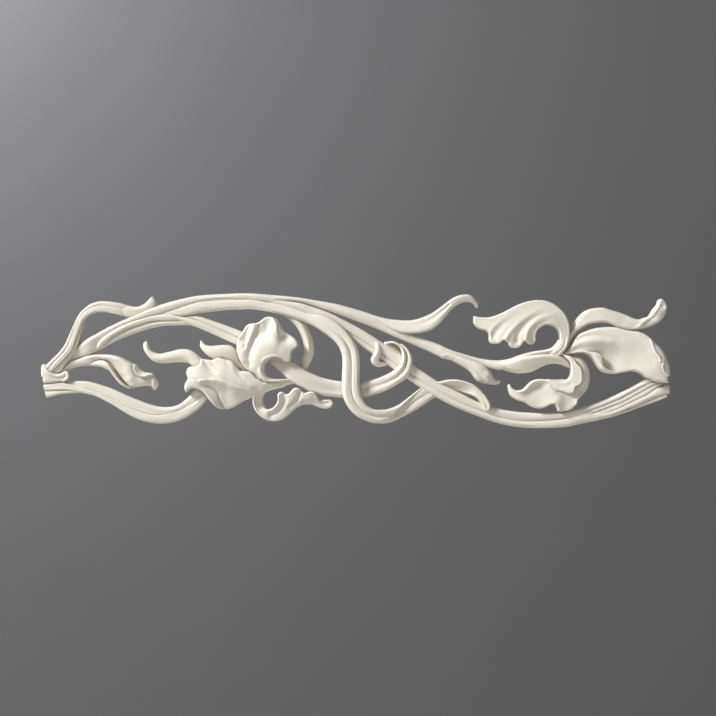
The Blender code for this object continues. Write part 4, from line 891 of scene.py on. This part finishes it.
def strand_tree(name, material):
    """Node tree that turns a line of ribs into a stem with a rounded top and upright sides."""
    tree = bpy.data.node_groups.new(name, "GeometryNodeTree")
    sockets = strand_sockets(tree)
    make = NodeMaker(tree)
    given = make.node("NodeGroupInput", -1500, 0).outputs
    swept = swept_ribs(make, given)
    section = make.node("ShaderNodeSeparateXYZ", -700, -300)
    make.put(section.inputs[0], make.stored("section", "FLOAT_VECTOR", -900, -300))
    across, up = section.outputs[0], section.outputs[1]
    top = make.maths("GREATER_THAN", up, CREST_FROM, x=-500, y=-500)
    share = share_across(make, given, across, up, top)
    first_edge = make.stored("edge_a", "FLOAT_VECTOR", 300, 0)
    second_edge = make.stored("edge_b", "FLOAT_VECTOR", 300, -200)
    between = make.mix("VECTOR", share, first_edge, second_edge, 500, -200)
    height = stem_height(make, given, across, up, share)
    low = make.maths("MULTIPLY", given["Back"], -1.0, x=300, y=-1100)
    level = make.mix("FLOAT", top, low, height, 500, -800)
    out = make.node("ShaderNodeCombineXYZ", 700, -600)
    make.put(out.inputs[1], make.maths("MULTIPLY", level, -1.0, x=600, y=-1000))
    total = make.node("ShaderNodeVectorMath", 900, -300, operation="ADD")
    make.put(total.inputs[0], between)
    make.put(total.inputs[1], out.outputs[0])
    shape = make.node("GeometryNodeSetPosition", 1100, 200)
    make.put(shape.inputs["Geometry"], swept)
    make.put(shape.inputs["Position"], total.outputs[0])
    real = make.node("GeometryNodeRealizeInstances", 1300, 200)
    make.put(real.inputs[0], shape.outputs[0])
    paint = make.node("GeometryNodeSetMaterial", 1500, 200)
    make.put(paint.inputs["Geometry"], real.outputs[0])
    make.put(paint.inputs["Material"], material)
    way_out = make.node("NodeGroupOutput", 1700, 200)
    make.put(way_out.inputs[0], paint.outputs[0])
    return tree, sockets


def guide_collection():
    """Collection that holds the separate shapes until they are cast as one."""
    found = bpy.data.collections.get(GUIDES)
    if found is None:
        found = bpy.data.collections.new(GUIDES)
        bpy.context.scene.collection.children.link(found)
    return found


def back_reach(settings, guides):
    """How far a guide passes the flat back."""
    return settings.back_overlap + (len(guides.objects) % BACK_TURNS) * BACK_STAGGER * MM


def plain_copy(obj, name):
    """The object's shape with its modifiers worked in, as a new mesh."""
    ready = obj.evaluated_get(bpy.context.evaluated_depsgraph_get())
    mesh = bpy.data.meshes.new_from_object(ready)
    mesh.name = name
    return mesh


def turn_outward(mesh):
    """Joins doubled points and turns every face outwards; raises an error if the mesh isn't closed."""
    bm = bmesh.new()
    bm.from_mesh(mesh)
    bmesh.ops.remove_doubles(bm, verts=bm.verts, dist=WELD)
    bmesh.ops.recalc_face_normals(bm, faces=bm.faces)
    closed = all(e.is_manifold for e in bm.edges)
    bm.to_mesh(mesh)
    bm.free()
    if not closed:
        raise RuntimeError(f"{mesh.name} isn't closed")


def rib_line(name, ribs):
    """Line through the middles of the ribs, with each rib's two edges and its height on its point."""
    rows = np.array(ribs) * MM
    flat = np.zeros(len(rows))
    first = np.stack([rows[:, 0], flat, rows[:, 1]], axis=1)
    second = np.stack([rows[:, 2], flat, rows[:, 3]], axis=1)
    line = bpy.data.meshes.new(name + " line")
    line.from_pydata(((first + second) / 2).tolist(), [(i, i + 1) for i in range(len(rows) - 1)], [])
    for label, values in (("edge_a", first), ("edge_b", second)):
        line.attributes.new(label, "FLOAT_VECTOR", "POINT").data.foreach_set("vector", values.ravel())
    line.attributes.new("rise", "FLOAT", "POINT").data.foreach_set("value", rows[:, 4].copy())
    return line


def add_strands(settings, strands, material):
    """Sweeps each stem along its ribs and leaves it as a plain mesh in the guides."""
    tree, sockets = strand_tree("Stem sweep", material)
    guides = guide_collection()
    for name, (first_share, second_share, roundness), lean, ribs in strands:
        line = rib_line(name, ribs)
        obj = bpy.data.objects.new(name, line)
        guides.objects.link(obj)
        sweep = obj.modifiers.new("Stem sweep", "NODES")
        sweep.node_group = tree
        values = {
            "Step": settings.strand_step,
            "Points": settings.strand_points,
            "First Edge Share": float(first_share),
            "Second Edge Share": float(second_share),
            "Lean": float(lean),
            "Roundness": float(roundness),
            "Streaks": settings.streaks,
            "Seed": SEED_STEP * len(guides.objects),
            "Relief": settings.relief,
            "Back": back_reach(settings, guides),
        }
        for label, value in values.items():
            sweep[sockets[label]] = value
        solid = plain_copy(obj, name)
        obj.modifiers.remove(sweep)
        obj.data = solid
        bpy.data.meshes.remove(line)
        turn_outward(solid)
    bpy.data.node_groups.remove(tree)


# ---------------------------------------------------------------------------
# Plates: leaves and petals modelled over their outline
# ---------------------------------------------------------------------------
def corners_and_points(points, closed):
    """The points without repeats, and which of them are sharp corners."""
    corner, kept = [], []
    for p in np.array(points, dtype=float):
        if kept and np.allclose(p, kept[-1]):
            corner[-1] = True
            continue
        kept.append(p)
        corner.append(False)
    if closed and np.allclose(kept[0], kept[-1]):
        kept.pop()
        corner.pop()
        corner[0] = True
    if not closed:
        corner[0] = corner[-1] = True
    return corner, np.array(kept)


def smooth_line(points, step, closed=False):
    """Smooth line through the points, with a sharp corner where a point is given twice."""
    corner, p = corners_and_points(points, closed)
    n = len(p)
    leg = np.roll(p, -1, axis=0) - p
    size = np.linalg.norm(leg, axis=1)
    way = leg / size[:, None]
    back_way, back_size = np.roll(way, 1, axis=0), np.roll(size, 1)
    mean = back_way * size[:, None] + way * back_size[:, None]
    mean /= np.maximum(np.linalg.norm(mean, axis=1), 1e-9)[:, None]
    out = []
    for i in range(n if closed else n - 1):
        j = (i + 1) % n
        leaving = way[i] if corner[i] else mean[i]
        arriving = way[i] if corner[j] else mean[j]
        count = max(1, int(round(size[i] / step)))
        for k in range(count):
            t = k / count
            # cubic with the given ends and directions
            h00, h10 = 2 * t**3 - 3 * t**2 + 1, t**3 - 2 * t**2 + t
            h01, h11 = -2 * t**3 + 3 * t**2, t**3 - t**2
            out.append(h00 * p[i] + h10 * size[i] * leaving + h01 * p[j] + h11 * size[i] * arriving)
    return np.array(out if closed else out + [p[-1]])


def line_distance(points, line, closed=False):
    """Distance from each point to the line, and how far along it the nearest place is (0 to 1)."""
    start = np.asarray(line, dtype=float)
    end = np.roll(start, -1, axis=0) if closed else start[1:]
    if not closed:
        start = start[:-1]
    leg = end - start
    square = np.maximum((leg**2).sum(axis=1), 1e-12)
    reach = np.concatenate([[0.0], np.cumsum(np.sqrt(square))])
    best = np.full(len(points), np.inf)
    along = np.zeros(len(points))
    for k, (s, d, q) in enumerate(zip(start, leg, square)):
        t = np.clip(((points - s) @ d) / q, 0, 1)
        gap = ((points - s - t[:, None] * d) ** 2).sum(axis=1)
        nearer = gap < best
        best[nearer] = gap[nearer]
        along[nearer] = ((reach[k] + t * math.sqrt(q)) / reach[-1])[nearer]
    return np.sqrt(best), along


def inside(points, loop):
    """Which points lie inside the loop."""
    x, z = points[:, 0], points[:, 1]
    hit = np.zeros(len(points), dtype=bool)
    for (x0, z0), (x1, z1) in zip(loop, np.roll(loop, -1, axis=0)):
        if z0 == z1:
            continue
        cross = (z0 > z) != (z1 > z)
        hit ^= cross & (x < (x1 - x0) * (z - z0) / (z1 - z0) + x0)
    return hit


def thin_plate(spots, points):
    """Heights at the points of the smoothest surface through the spots."""
    s = np.array(spots, dtype=float)

    def kernel(a, b):
        r2 = ((a[:, None, :] - b[None, :, :]) ** 2).sum(axis=2)
        return 0.5 * r2 * np.log(np.maximum(r2, 1e-9))

    n = len(s)
    xz = s[:, :2] / SPOT_SCALE
    side = np.hstack([np.ones((n, 1)), xz])
    matrix = np.zeros((n + 3, n + 3))
    matrix[:n, :n] = kernel(xz, xz) + np.eye(n) * SPOT_EASE
    matrix[:n, n:] = side
    matrix[n:, :n] = side.T
    weight = np.linalg.solve(matrix, np.concatenate([s[:, 2], np.zeros(3)]))
    q = points / SPOT_SCALE
    value = kernel(q, xz) @ weight[:n] + np.hstack([np.ones((len(q), 1)), q]) @ weight[n:]
    return np.clip(value, s[:, 2].min() - SPOT_MARGIN, s[:, 2].max() + SPOT_MARGIN)


def plate_points(outline, step):
    """Outline of the plate, and the points that its surface is made of."""
    loop = smooth_line(outline, step, closed=True)
    area = 0.5 * np.sum(loop[:, 0] * np.roll(loop[:, 1], -1) - np.roll(loop[:, 0], -1) * loop[:, 1])
    if area < 0:
        loop = loop[::-1]
    way = np.roll(loop, -1, axis=0) - np.roll(loop, 1, axis=0)
    way /= np.maximum(np.linalg.norm(way, axis=1), 1e-9)[:, None]
    inward = np.stack([-way[:, 1], way[:, 0]], axis=1)
    sets = []
    for inset in EDGE_RINGS:
        ring = loop + inward * inset
        near = line_distance(ring, loop, closed=True)[0]
        sets.append(ring[(near > RING_SHARE * inset) & inside(ring, loop)])
    low, high = loop.min(axis=0), loop.max(axis=0)
    rows = []
    for k, z in enumerate(np.arange(low[1], high[1], step * ROW_SHARE)):
        xs = np.arange(low[0] + (k % 2) * step / 2, high[0], step)
        rows.append(np.stack([xs, np.full(len(xs), z)], axis=1))
    grid = np.concatenate(rows)
    grid = grid[inside(grid, loop)]
    clear = EDGE_RINGS[-1] + GRID_GAP * step
    sets.append(grid[line_distance(grid, loop, closed=True)[0] > clear])
    return loop, np.concatenate(sets)


def plate_heights(wall, radius, rim, spots, creases, points, loop):
    """Height at each point, from the spots, the creases, the rim and the rounded edge."""
    height = thin_plate(spots, points)
    for rise, last_rise, width, last_width, line in creases:
        off, along = line_distance(points, smooth_line(line, CREASE_STEP))
        reach = width + (last_width - width) * along
        height += (rise + (last_rise - rise) * along) * np.exp(-(off / reach) ** 2)
    depth_in = line_distance(points, loop, closed=True)[0]
    if rim[0]:
        height += rim[0] * np.exp(-((depth_in - rim[1]) / rim[2]) ** 2)
    turn = 1 - np.minimum(depth_in, radius) / radius
    return height * (wall + (1 - wall) * np.sqrt(np.maximum(1 - turn**2, 0)))


def plate_mesh(name, points, height, triangles, back):
    """Closed shape with the modelled surface in front, upright sides and a level back."""
    bm = bmesh.new()
    front = [bm.verts.new((x * MM, -h * MM, z * MM)) for (x, z), h in zip(points, height)]
    for triangle in triangles:
        bm.faces.new([front[i] for i in triangle])
    for v in [v for v in bm.verts if not v.link_faces]:
        bm.verts.remove(v)
    border = [e for e in bm.edges if e.is_boundary]
    for part in bmesh.ops.extrude_edge_only(bm, edges=border)["geom"]:
        if isinstance(part, bmesh.types.BMVert):
            part.co.y = back
    bmesh.ops.holes_fill(bm, edges=[e for e in bm.edges if e.is_boundary], sides=0)
    bmesh.ops.triangulate(bm, faces=[f for f in bm.faces if len(f.verts) > 4])
    bmesh.ops.recalc_face_normals(bm, faces=bm.faces)
    mesh = bpy.data.meshes.new(name)
    bm.to_mesh(mesh)
    bm.free()
    return mesh


def add_plates(settings, plates, material):
    """Builds each leaf or petal as a closed shape and puts it in the guides."""
    guides = guide_collection()
    for name, wall, radius, rim, outline, spots, creases in plates:
        loop, points = plate_points(outline, settings.plate_step / MM)
        n = len(loop)
        given = [Vector(p) for p in np.concatenate([loop, points])]
        border = [(i, (i + 1) % n) for i in range(n)]
        flat, _, triangles, *_ = delaunay_2d_cdt(given, border, [], FILL_INSIDE, FILL_NEAR)
        xz = np.array([tuple(v) for v in flat])
        height = plate_heights(wall, radius, rim, spots, creases, xz, loop) * settings.relief
        mesh = plate_mesh(name, xz, height, triangles, back_reach(settings, guides))
        turn_outward(mesh)
        mesh.materials.append(material)
        guides.objects.link(bpy.data.objects.new(name, mesh))


def add_group(settings, strands, plates=()):
    """Puts one group of stems, leaves and petals in the guides."""
    material = primed_surface(settings)
    add_strands(settings, strands, material)
    add_plates(settings, plates, material)


# ---------------------------------------------------------------------------
# Finish
# ---------------------------------------------------------------------------
def primed_surface(settings):
    """Off-white primer on the cast, with shade painted darker and warmer into the hollows and grooves, and a
    fine orange-peel skin.
    """
    found = bpy.data.materials.get(PRIMER)
    if found:
        return found
    mat = bpy.data.materials.new(PRIMER)
    mat.use_nodes = True
    mat.node_tree.nodes.clear()
    make = NodeMaker(mat.node_tree)
    place = make.node("ShaderNodeTexCoord", -1150, 0).outputs["Object"]
    # Painted shade: the primer is mixed towards a darker, warmer colour where the point lies below the relief
    # around it.
    painted_shade = make.node("ShaderNodeAttribute", -900, 500, attribute_name="painted_shade", attribute_type="GEOMETRY")
    painted_shade_share = make.span(painted_shade.outputs["Fac"], (0.0, 1.0), (0.0, PAINTED_SHADE_STRENGTH), -650, 500)
    raised_colour, painted_shade_tone = (*settings.surface_colour, 1), (*settings.painted_shade_colour, 1)
    primer_with_shade = make.mix("RGBA", painted_shade_share, raised_colour, painted_shade_tone, -350, 400)
    patches = make.span(make.noise(place, PATCH_NOISE, -900, 200), NOISE_SPAN, (0.0, 1.0), -650, 200)
    shade = make.mix("RGBA", patches, PATCH_COLOUR, (1.0, 1.0, 1.0, 1), -350, 150)
    tone = make.mix("RGBA", 1.0, primer_with_shade, shade, -100, 300, blend_type="MULTIPLY")
    shine = make.span(make.noise(place, SHINE_NOISE, -900, -50), NOISE_SPAN, SHINE_SPAN, -650, -50)
    skin = make.node("ShaderNodeBump", -100, -250)
    make.put(skin.inputs["Strength"], SKIN_STRENGTH)
    make.put(skin.inputs["Distance"], SKIN_DEPTH)
    make.put(skin.inputs["Height"], make.noise(place, SKIN_NOISE, -900, -300))
    shader = make.node("ShaderNodeBsdfPrincipled", 200, 200)
    make.put(shader.inputs["Base Color"], tone)
    make.put(shader.inputs["Roughness"], shine)
    make.put(shader.inputs["Normal"], skin.outputs["Normal"])
    make.put(shader.inputs["IOR"], PRIMER_IOR)
    out = make.node("ShaderNodeOutputMaterial", 500, 200)
    make.put(out.inputs["Surface"], shader.outputs[0])
    return mat


def plain_surface(name, colour, roughness):
    """Matt studio surface with a faint mottle."""
    mat = bpy.data.materials.new(name)
    mat.use_nodes = True
    make = NodeMaker(mat.node_tree)
    shader = mat.node_tree.nodes["Principled BSDF"]
    place = make.node("ShaderNodeTexCoord", -750, 0).outputs["Object"]
    grain = make.noise(place, (MOTTLE_SCALE,), -500, 0)
    dark = (*[c * (1 - MOTTLE) for c in colour], 1)
    light = (*[min(1, c * (1 + MOTTLE)) for c in colour], 1)
    make.put(shader.inputs["Base Color"], make.mix("RGBA", grain, dark, light, -250, 0))
    make.put(shader.inputs["Roughness"], roughness)
    return mat


def block(name, low, high):
    """Plain box between two corners."""
    mesh = bpy.data.meshes.new(name)
    bm = bmesh.new()
    bmesh.ops.create_cube(bm, size=1.0)
    for v in bm.verts:
        for i in range(3):
            v.co[i] = low[i] if v.co[i] < 0 else high[i]
    bm.to_mesh(mesh)
    bm.free()
    obj = bpy.data.objects.new(name, mesh)
    bpy.context.scene.collection.objects.link(obj)
    return obj


# ---------------------------------------------------------------------------
# Casting
# ---------------------------------------------------------------------------
def joined_shapes(bm):
    """Lists of the points that hang together, the longest list first."""
    left, shapes = set(bm.verts), []
    while left:
        seed = left.pop()
        shape, stack = [seed], [seed]
        while stack:
            for e in stack.pop().link_edges:
                for v in e.verts:
                    if v in left:
                        left.remove(v)
                        shape.append(v)
                        stack.append(v)
        shapes.append(shape)
    return sorted(shapes, key=len, reverse=True)


def drop_crumbs(mesh):
    """Keeps the largest joined shape and removes loose crumbs."""
    bm = bmesh.new()
    bm.from_mesh(mesh)
    for shape in joined_shapes(bm)[1:]:
        bmesh.ops.delete(bm, geom=shape, context="VERTS")
    bm.to_mesh(mesh)
    bm.free()


def relief_field(mesh, co):
    """Height of the relief on an even grid over the front, and the grid's first corner."""
    tree = BVHTree.FromPolygons([tuple(c) for c in co], [tuple(p.vertices) for p in mesh.polygons])
    low = co.min(axis=0) - FIELD_MARGIN
    high = co.max(axis=0) + FIELD_MARGIN
    xs = np.arange(low[0], high[0], FIELD_STEP)
    zs = np.arange(low[2], high[2], FIELD_STEP)
    field = np.zeros((len(xs), len(zs)))
    towards = Vector((0, 1, 0))
    for i, x in enumerate(xs):
        for j, z in enumerate(zs):
            hit = tree.ray_cast(Vector((x, FIELD_FROM, z)), towards)[0]
            if hit is not None:
                field[i, j] = -hit.y
    return field, low


def blur(grid, reach):
    """The grid smoothed over a reach given in its steps."""
    far = int(3 * reach)
    share = np.exp(-(np.arange(-far, far + 1) / reach) ** 2 / 2)
    share /= share.sum()
    for axis in (0, 1):
        grid = np.apply_along_axis(np.convolve, axis, grid, share, mode="same")
    return grid


def paint_hollow_shade(mesh):
    """Stores on each point how much shade to paint there: how far it lies below the surface around it, less
    on faces that turn from the front.
    """
    n = len(mesh.vertices)
    co = np.empty(n * 3)
    mesh.vertices.foreach_get("co", co)
    co = co.reshape(n, 3)
    field, low = relief_field(mesh, co)
    filled = (field > 0).astype(float)
    gx = np.clip((co[:, 0] - low[0]) / FIELD_STEP, 0, field.shape[0] - FIELD_END)
    gz = np.clip((co[:, 2] - low[2]) / FIELD_STEP, 0, field.shape[1] - FIELD_END)
    i, j = gx.astype(int), gz.astype(int)
    u, v = gx - i, gz - j
    value = np.zeros(n)
    for reach, least, full in (WIDE_SHADE_LOOK, GROOVE_SHADE_LOOK):
        around = blur(field, reach) / np.maximum(blur(filled, reach), LEAST_FILLED)
        level = ((1 - u) * (1 - v) * around[i, j] + u * (1 - v) * around[i + 1, j]
                 + (1 - u) * v * around[i, j + 1] + u * v * around[i + 1, j + 1])
        value += np.clip((level + co[:, 1] - least) / full, 0, 1) * SHADE_LOOK_WEIGHT
    facing = np.empty(n * 3)
    mesh.vertices.foreach_get("normal", facing)
    value = np.clip(value, 0, 1) * np.clip(-FRONT_GAIN * facing.reshape(n, 3)[:, 1], SIDE_SHARE, 1)
    mesh.attributes.new("painted_shade", "FLOAT", "POINT").data.foreach_set("value", value.astype(np.float32))


def add_boolean(obj, name, operation, **props):
    """Boolean modifier on the object."""
    step = obj.modifiers.new(name, "BOOLEAN")
    step.operation = operation
    step.solver = "MANIFOLD"
    for key, value in props.items():
        setattr(step, key, value)


def joined_mesh():
    """Mesh of all the guides joined, cut to a flat back and square ends; the guides are used up."""
    guides = guide_collection()
    first = guides.objects[0]
    guides.objects.unlink(first)
    bpy.context.scene.collection.objects.link(first)
    half = (CAD_BOX[1][0] - CAD_BOX[0][0]) / 2
    trim_box = block("Trim", (-half, -TRIM_DEPTH, -TRIM_REACH), (half, 0.0, TRIM_REACH))
    add_boolean(first, "Join", "UNION", operand_type="COLLECTION", collection=guides)
    add_boolean(first, "Trim", "INTERSECT", operand_type="OBJECT", object=trim_box)
    mesh = plain_copy(first, PIECE)
    for obj in list(guides.objects) + [first, trim_box]:
        bpy.data.objects.remove(obj)
    bpy.data.collections.remove(guides)
    if len(mesh.polygons) < FEWEST_FACES:
        raise RuntimeError("the casting is empty: the guides didn't join")
    return mesh


def cast_in_one(settings):
    """Makes the casting from the guides and gives the frame its moulding."""
    mesh = joined_mesh()
    drop_crumbs(mesh)
    paint_hollow_shade(mesh)
    for label in GUIDE_NOTES:
        mesh.attributes.remove(mesh.attributes[label])
    mesh.polygons.foreach_set("use_smooth", [True] * len(mesh.polygons))
    mesh.set_sharp_from_angle(angle=SHARP_ANGLE)
    mesh.materials.clear()
    mesh.materials.append(primed_surface(settings))
    mesh.polygons.foreach_set("material_index", [0] * len(mesh.polygons))
    casting = bpy.data.objects.new(PIECE, mesh)
    bpy.context.scene.collection.objects.link(casting)
    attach(casting, "root")
    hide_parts(NODE)


# ---------------------------------------------------------------------------
# Studio
# ---------------------------------------------------------------------------
def soft_light(name, place, aim, side, power, colour):
    """Square area light that looks at a point."""
    data = bpy.data.lights.new(name, "AREA")
    data.shape = "SQUARE"
    data.size = side
    data.energy = power
    data.color = colour
    lamp = bpy.data.objects.new(name, data)
    lamp.location = place
    lamp.rotation_euler = (Vector(aim) - Vector(place)).to_track_quat("-Z", "Y").to_euler()
    bpy.context.scene.collection.objects.link(lamp)


def add_air(scene):
    """Faint warm light from all round."""
    world = bpy.data.worlds.new("Studio air")
    world.use_nodes = True
    air = world.node_tree.nodes["Background"]
    air.inputs["Color"].default_value = AIR_COLOUR
    air.inputs["Strength"].default_value = AIR_STRENGTH
    scene.world = world


def add_camera(scene, distance):
    """Long lens that faces the frieze squarely."""
    lens = bpy.data.cameras.new("Camera")
    lens.lens = LENS_MM
    lens.sensor_width = SENSOR_MM
    lens.clip_end = VIEW_END
    camera = bpy.data.objects.new("Camera", lens)
    camera.location = (CAMERA_SHIFT, -distance, CAMERA_SHIFT)
    camera.rotation_euler = (math.radians(90), 0, 0)
    scene.collection.objects.link(camera)
    scene.camera = camera


def build_stage(scene):
    """Pale floor, grey backdrop, a soft key light from the upper left, and the camera."""
    settings = scene.frieze
    drop = -settings.floor_drop
    floor = block("Floor", (-STUDIO_HALF, -STUDIO_HALF, drop - SLAB), (STUDIO_HALF, BACKDROP_AT, drop))
    floor.data.materials.append(plain_surface("Pale floor", settings.floor_colour, FLOOR_ROUGHNESS))
    backdrop = block("Backdrop", (-STUDIO_HALF, BACKDROP_AT, drop),
                     (STUDIO_HALF, BACKDROP_AT + SLAB, BACKDROP_TOP))
    backdrop.data.materials.append(
        plain_surface("Grey backdrop", settings.backdrop_colour, BACKDROP_ROUGHNESS))
    for light in LIGHTS:
        soft_light(*light)
    add_air(scene)
    scene.view_settings.view_transform = "Standard"
    add_camera(scene, settings.lens_distance)


# ---------------------------------------------------------------------------
# Operators
# ---------------------------------------------------------------------------
class FRIEZE_OT_left_stems(bpy.types.Operator):
    """Sweep the long stems and tendrils of the left half"""

    bl_idname = "frieze.left_stems"
    bl_label = "Stems and Tendrils"
    bl_options = {"REGISTER", "UNDO"}

    def execute(self, context):
        add_group(context.scene.frieze, LEFT_STEMS_STRANDS)
        return {"FINISHED"}


class FRIEZE_OT_left_leaves(bpy.types.Operator):
    """Model the looped leaf, the folded leaf and the end bract"""

    bl_idname = "frieze.left_leaves"
    bl_label = "Looped and Folded Leaves"
    bl_options = {"REGISTER", "UNDO"}

    def execute(self, context):
        add_group(context.scene.frieze, LEFT_LEAVES_STRANDS, LEFT_LEAVES_PLATES)
        return {"FINISHED"}


class FRIEZE_OT_left_flower(bpy.types.Operator):
    """Model the hooded flower, its falling petal and the scrolled leaf below it"""

    bl_idname = "frieze.left_flower"
    bl_label = "Hooded Flower"
    bl_options = {"REGISTER", "UNDO"}

    def execute(self, context):
        add_group(context.scene.frieze, LEFT_FLOWER_STRANDS, LEFT_FLOWER_PLATES)
        return {"FINISHED"}


class FRIEZE_OT_middle_straps(bpy.types.Operator):
    """Sweep the crossing straps, the ring and the ribbon, and model the leaves on them"""

    bl_idname = "frieze.middle_straps"
    bl_label = "Crossing Straps and Bud"
    bl_options = {"REGISTER", "UNDO"}

    def execute(self, context):
        add_group(context.scene.frieze, MIDDLE_STRAPS_STRANDS, MIDDLE_STRAPS_PLATES)
        return {"FINISHED"}


class FRIEZE_OT_right_flower(bpy.types.Operator):
    """Model the open flower at the right end"""

    bl_idname = "frieze.right_flower"
    bl_label = "Open Flower"
    bl_options = {"REGISTER", "UNDO"}

    def execute(self, context):
        add_group(context.scene.frieze, RIGHT_FLOWER_STRANDS, RIGHT_FLOWER_PLATES)
        return {"FINISHED"}


class FRIEZE_OT_casting(bpy.types.Operator):
    """Join everything into one casting with a flat back and square ends"""

    bl_idname = "frieze.casting"
    bl_label = "One Casting"
    bl_options = {"REGISTER", "UNDO"}

    def execute(self, context):
        cast_in_one(context.scene.frieze)
        return {"FINISHED"}


class FRIEZE_OT_stage(bpy.types.Operator):
    """Set up the floor, the backdrop, the lights and the camera"""

    bl_idname = "frieze.stage"
    bl_label = "Studio"
    bl_options = {"REGISTER", "UNDO"}

    def execute(self, context):
        build_stage(context.scene)
        return {"FINISHED"}


STEPS = (
    FRIEZE_OT_left_stems,
    FRIEZE_OT_left_leaves,
    FRIEZE_OT_left_flower,
    FRIEZE_OT_middle_straps,
    FRIEZE_OT_right_flower,
    FRIEZE_OT_casting,
    FRIEZE_OT_stage,
)


class FRIEZE_PT_panel(bpy.types.Panel):
    """Sidebar panel that lists the steps in order"""

    bl_label = "Flower Frieze"
    bl_idname = "FRIEZE_PT_panel"
    bl_space_type = "VIEW_3D"
    bl_region_type = "UI"
    bl_category = "Frieze"

    def draw(self, context):
        for key in FriezeSettings.__annotations__:
            self.layout.prop(context.scene.frieze, key)
        for step in STEPS:
            self.layout.operator(step.bl_idname)


CLASSES = (FriezeSettings, *STEPS, FRIEZE_PT_panel)


def register():
    """Adds the settings, the operators and the panel."""
    for cls in CLASSES:
        bpy.utils.register_class(cls)
    bpy.types.Scene.frieze = bpy.props.PointerProperty(type=FriezeSettings)


def unregister():
    """Takes them away again."""
    del bpy.types.Scene.frieze
    for cls in reversed(CLASSES):
        bpy.utils.unregister_class(cls)


def main():
    """Runs the steps in order."""
    register()
    bpy.ops.frieze.left_stems()
    bpy.ops.frieze.left_leaves()
    bpy.ops.frieze.left_flower()
    bpy.ops.frieze.middle_straps()
    bpy.ops.frieze.right_flower()
    bpy.ops.frieze.casting()
    bpy.ops.frieze.stage()


if __name__ == "__main__":
    main()
